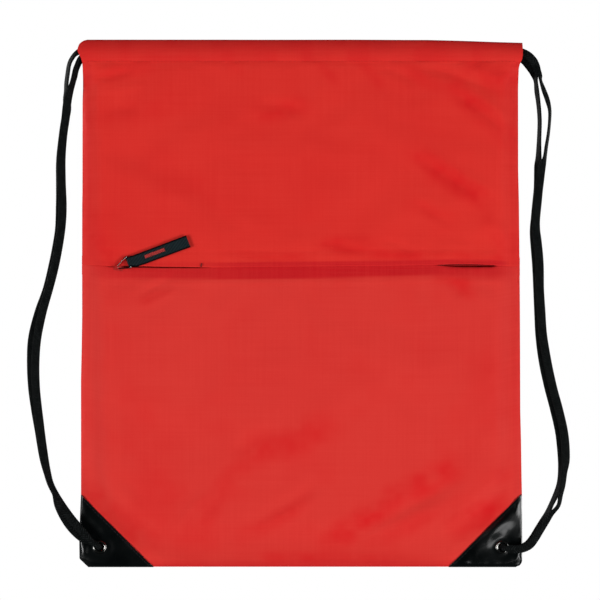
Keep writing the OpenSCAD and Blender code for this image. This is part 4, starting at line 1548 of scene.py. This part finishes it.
def ribbon():
    """Ribbon folded round the ring's bar, its two layers together, with ribs and selvedges."""
    bar, end = 9.25, 59.2            # along the pull
    layer_gap, loop_radius = 0.42, 0.98
    # the strip's path, along the pull and outwards: back layer, round the bar, front layer
    path = [(along, -layer_gap) for along in np.linspace(end - 0.6, bar + 1.6, 90)]
    path.append((bar + 0.7, -0.8))
    path += [(bar + loop_radius * math.cos(angle), -loop_radius * math.sin(angle))
             for angle in np.radians(np.linspace(90, 270, 15))]
    path.append((bar + 0.7, 0.8))
    path += [(along, layer_gap) for along in np.linspace(bar + 1.6, end, 90)]
    path, run = resample(np.array(path), 0.22)
    along, outward = path[:, 0], path[:, 1]
    tangent = unit(np.gradient(path, axis=0))
    cross = np.linspace(-1, 1, 15)
    rows, cols = len(along), len(cross)
    rib = 0.15 * (np.abs(np.sin(math.pi * run / RIB_PITCH)) ** 0.8 - 0.5)
    half_t = 0.30 + rib[:, None] * (1 - 0.75 * np.abs(cross)[None, :] ** 8)
    half_t = half_t * np.where(np.abs(cross)[None, :] > 0.97, 0.55, 1)
    # narrower, and set a little aside, near the ring
    half_w = np.interp(along, [7.8, 9.8, 11.3, 14.3, 20, 60], [3.6, 3.95, 4.28, 4.75, 4.85, 4.95])
    drift = np.interp(along, [7.8, 9.8, 11.3, 13.3, 14.7, 20, 60],
                      [0.7, 0.75, 0.4, -0.1, -0.35, -0.45, -0.55])
    sideways = cross[None, :] * half_w[:, None] + drift[:, None]
    ragged = 0.16 * noise(cross[None, :] * 6, 0, 1.0, 151) * ramp(along, end - 3, end)[:, None]
    faces_of_strip = []
    for sign in (1, -1):
        lengthwise = along[:, None] + tangent[:, 1][:, None] * sign * half_t + ragged
        outwards = outward[:, None] - tangent[:, 0][:, None] * sign * half_t
        faces_of_strip.append((PIVOT + lengthwise[..., None] * ALONG
                               + sideways[..., None] * ACROSS
                               + outwards[..., None] * FORWARD).reshape(-1, 3))
    count = rows * cols
    i = np.arange(count).reshape(rows, cols)
    faces = np.concatenate([grid_faces(rows, cols),
                            grid_faces(rows, cols, flip=True, start=count)]).tolist()
    rim = np.concatenate([i[0, :], i[1:, -1], i[-1, -2::-1], i[-2:0:-1, 0]])
    faces += [[after, here, here + count, after + count]
              for here, after in zip(rim.tolist(), np.roll(rim, -1).tolist())]
    rest = np.stack([np.repeat(run[:, None], cols, 1),
                     np.repeat(cross[None, :] * 4.75, rows, 0),
                     np.zeros((rows, cols))], -1).reshape(-1, 3)
    ob = add_mesh("pull_ribbon", np.concatenate(faces_of_strip), faces, RIBBON,
                  rest=np.concatenate([rest, rest + [0, 0, 3]]))
    work = bmesh.new()
    work.from_mesh(ob.data)
    bmesh.ops.recalc_face_normals(work, faces=work.faces)
    work.to_mesh(ob.data)
    work.free()
    attach(ob, "ribbon_weave", "pull_tab", body="pull_tab")


def pull_tack():
    """Three rows of zigzag thread along the ribbon."""
    centre = PIVOT + ALONG * 31.0 + FORWARD * 0.84
    parts = [zigzag(length=16.6, half=0.55, pitch=0.62, centre=centre + ACROSS * aside,
                    lengthwise=ALONG, sideways=ACROSS, radius=0.17, lift=0.06)
             for aside in (-0.8625, 0.0, 0.8625)]
    ob = add_swept("pull_tack_thread", parts, THREAD_TACK)
    attach(ob, "red_thread", "pull_tab_stitch", body="pull_tab")


wire_ring()
ribbon()
pull_tack()


# ---------------------------------------------------------------- stage, metres
def studio_world():
    """White to the camera, dark in reflections, and otherwise soft light, stronger from below."""
    world = bpy.data.worlds.new("studio")
    bpy.context.scene.world = world
    world.use_nodes = True
    g = Graph(world.node_tree)
    output = g.node("ShaderNodeOutputWorld")
    rays = g.node("ShaderNodeLightPath").outputs
    height = g.split(g.coordinates("Generated"))["Z"]
    light = g.span(height, of=(-1.0, 1.0), to=(0.21, 0.08))
    seen, soft, reflected = (g.node("ShaderNodeBackground", {0: colour}).outputs[0]
                             for colour in ((1, 1, 1), light, (0.014, 0.016, 0.016)))
    lit = g.node("ShaderNodeMixShader", {0: rays["Is Glossy Ray"], 1: soft, 2: reflected})
    mixed = g.node("ShaderNodeMixShader", {0: rays["Is Camera Ray"], 1: lit.outputs[0], 2: seen})
    g.fill(output, {0: mixed.outputs[0]})


def area_light(name, location, size, watts):
    """A rectangular light aimed at the bag's middle."""
    light = bpy.data.lights.new(name, "AREA")
    light.shape = "RECTANGLE"
    light.size, light.size_y = size
    light.energy = watts
    ob = bpy.data.objects.new(name, light)
    bpy.context.scene.collection.objects.link(ob)
    ob.location = location
    ob.rotation_mode = "QUATERNION"
    aim = Vector(location) - Vector((0, 0, 0.2))
    ob.rotation_quaternion = aim.to_track_quat("Z", "Y")


def stage_floor():
    """Pale glowing disc, well below the hanging bag."""
    radius, z, count = 6000, -850, 96        # millimetres
    angle = np.linspace(0, 2 * math.pi, count, endpoint=False)
    rim = np.stack([radius * np.cos(angle), radius * np.sin(angle) - 10,
                    np.full_like(angle, z)], -1)
    faces = [[0, 1 + k, 1 + (k + 1) % count] for k in range(count)]
    material, g = new_material("floor")
    cloud = g.noise(g.coordinates(), scale=0.6)
    g.surface({"Base Color": g.mix(cloud, (0.20, 0.20, 0.20), (0.22, 0.22, 0.22)),
               "Roughness": 0.7, "Emission Color": (1, 1, 1), "Emission Strength": 0.66})
    ob = add_mesh("floor", np.concatenate([[[0, -10, z]], rim]), faces, material)
    ob.visible_glossy = ob.visible_diffuse = False


def front_camera():
    view_width = 0.4773          # at the distance of the bag's mid-front
    data = bpy.data.cameras.new("camera")
    ob = bpy.data.objects.new("camera", data)
    scene = bpy.context.scene
    scene.collection.objects.link(ob)
    data.lens = 200
    data.sensor_width = 36
    data.sensor_fit = "HORIZONTAL"
    ob.location = (-0.0008, -0.014 - view_width * 200 / 36, 0.2132)
    ob.rotation_euler = (math.radians(90), 0, 0)
    data.clip_start, data.clip_end = 0.05, 50
    scene.camera = ob
    scene.view_settings.view_transform = "Standard"
    scene.view_settings.look = "None"


studio_world()
area_light("key_left", location=(-1.80, -1.20, -0.12), size=(0.7, 1.2), watts=38.5)
area_light("key_right", location=(1.80, -1.20, -0.12), size=(0.7, 1.2), watts=36.5)
area_light("fill_low", location=(1.0, -1.4, -0.72), size=(0.7, 0.5), watts=8)
area_light("back_left", location=(-1.75, 1.25, 0.85), size=(1.1, 0.9), watts=46)
area_light("back_right", location=(1.5, 1.6, 0.25), size=(1.3, 1.0), watts=16)
stage_floor()
front_camera()
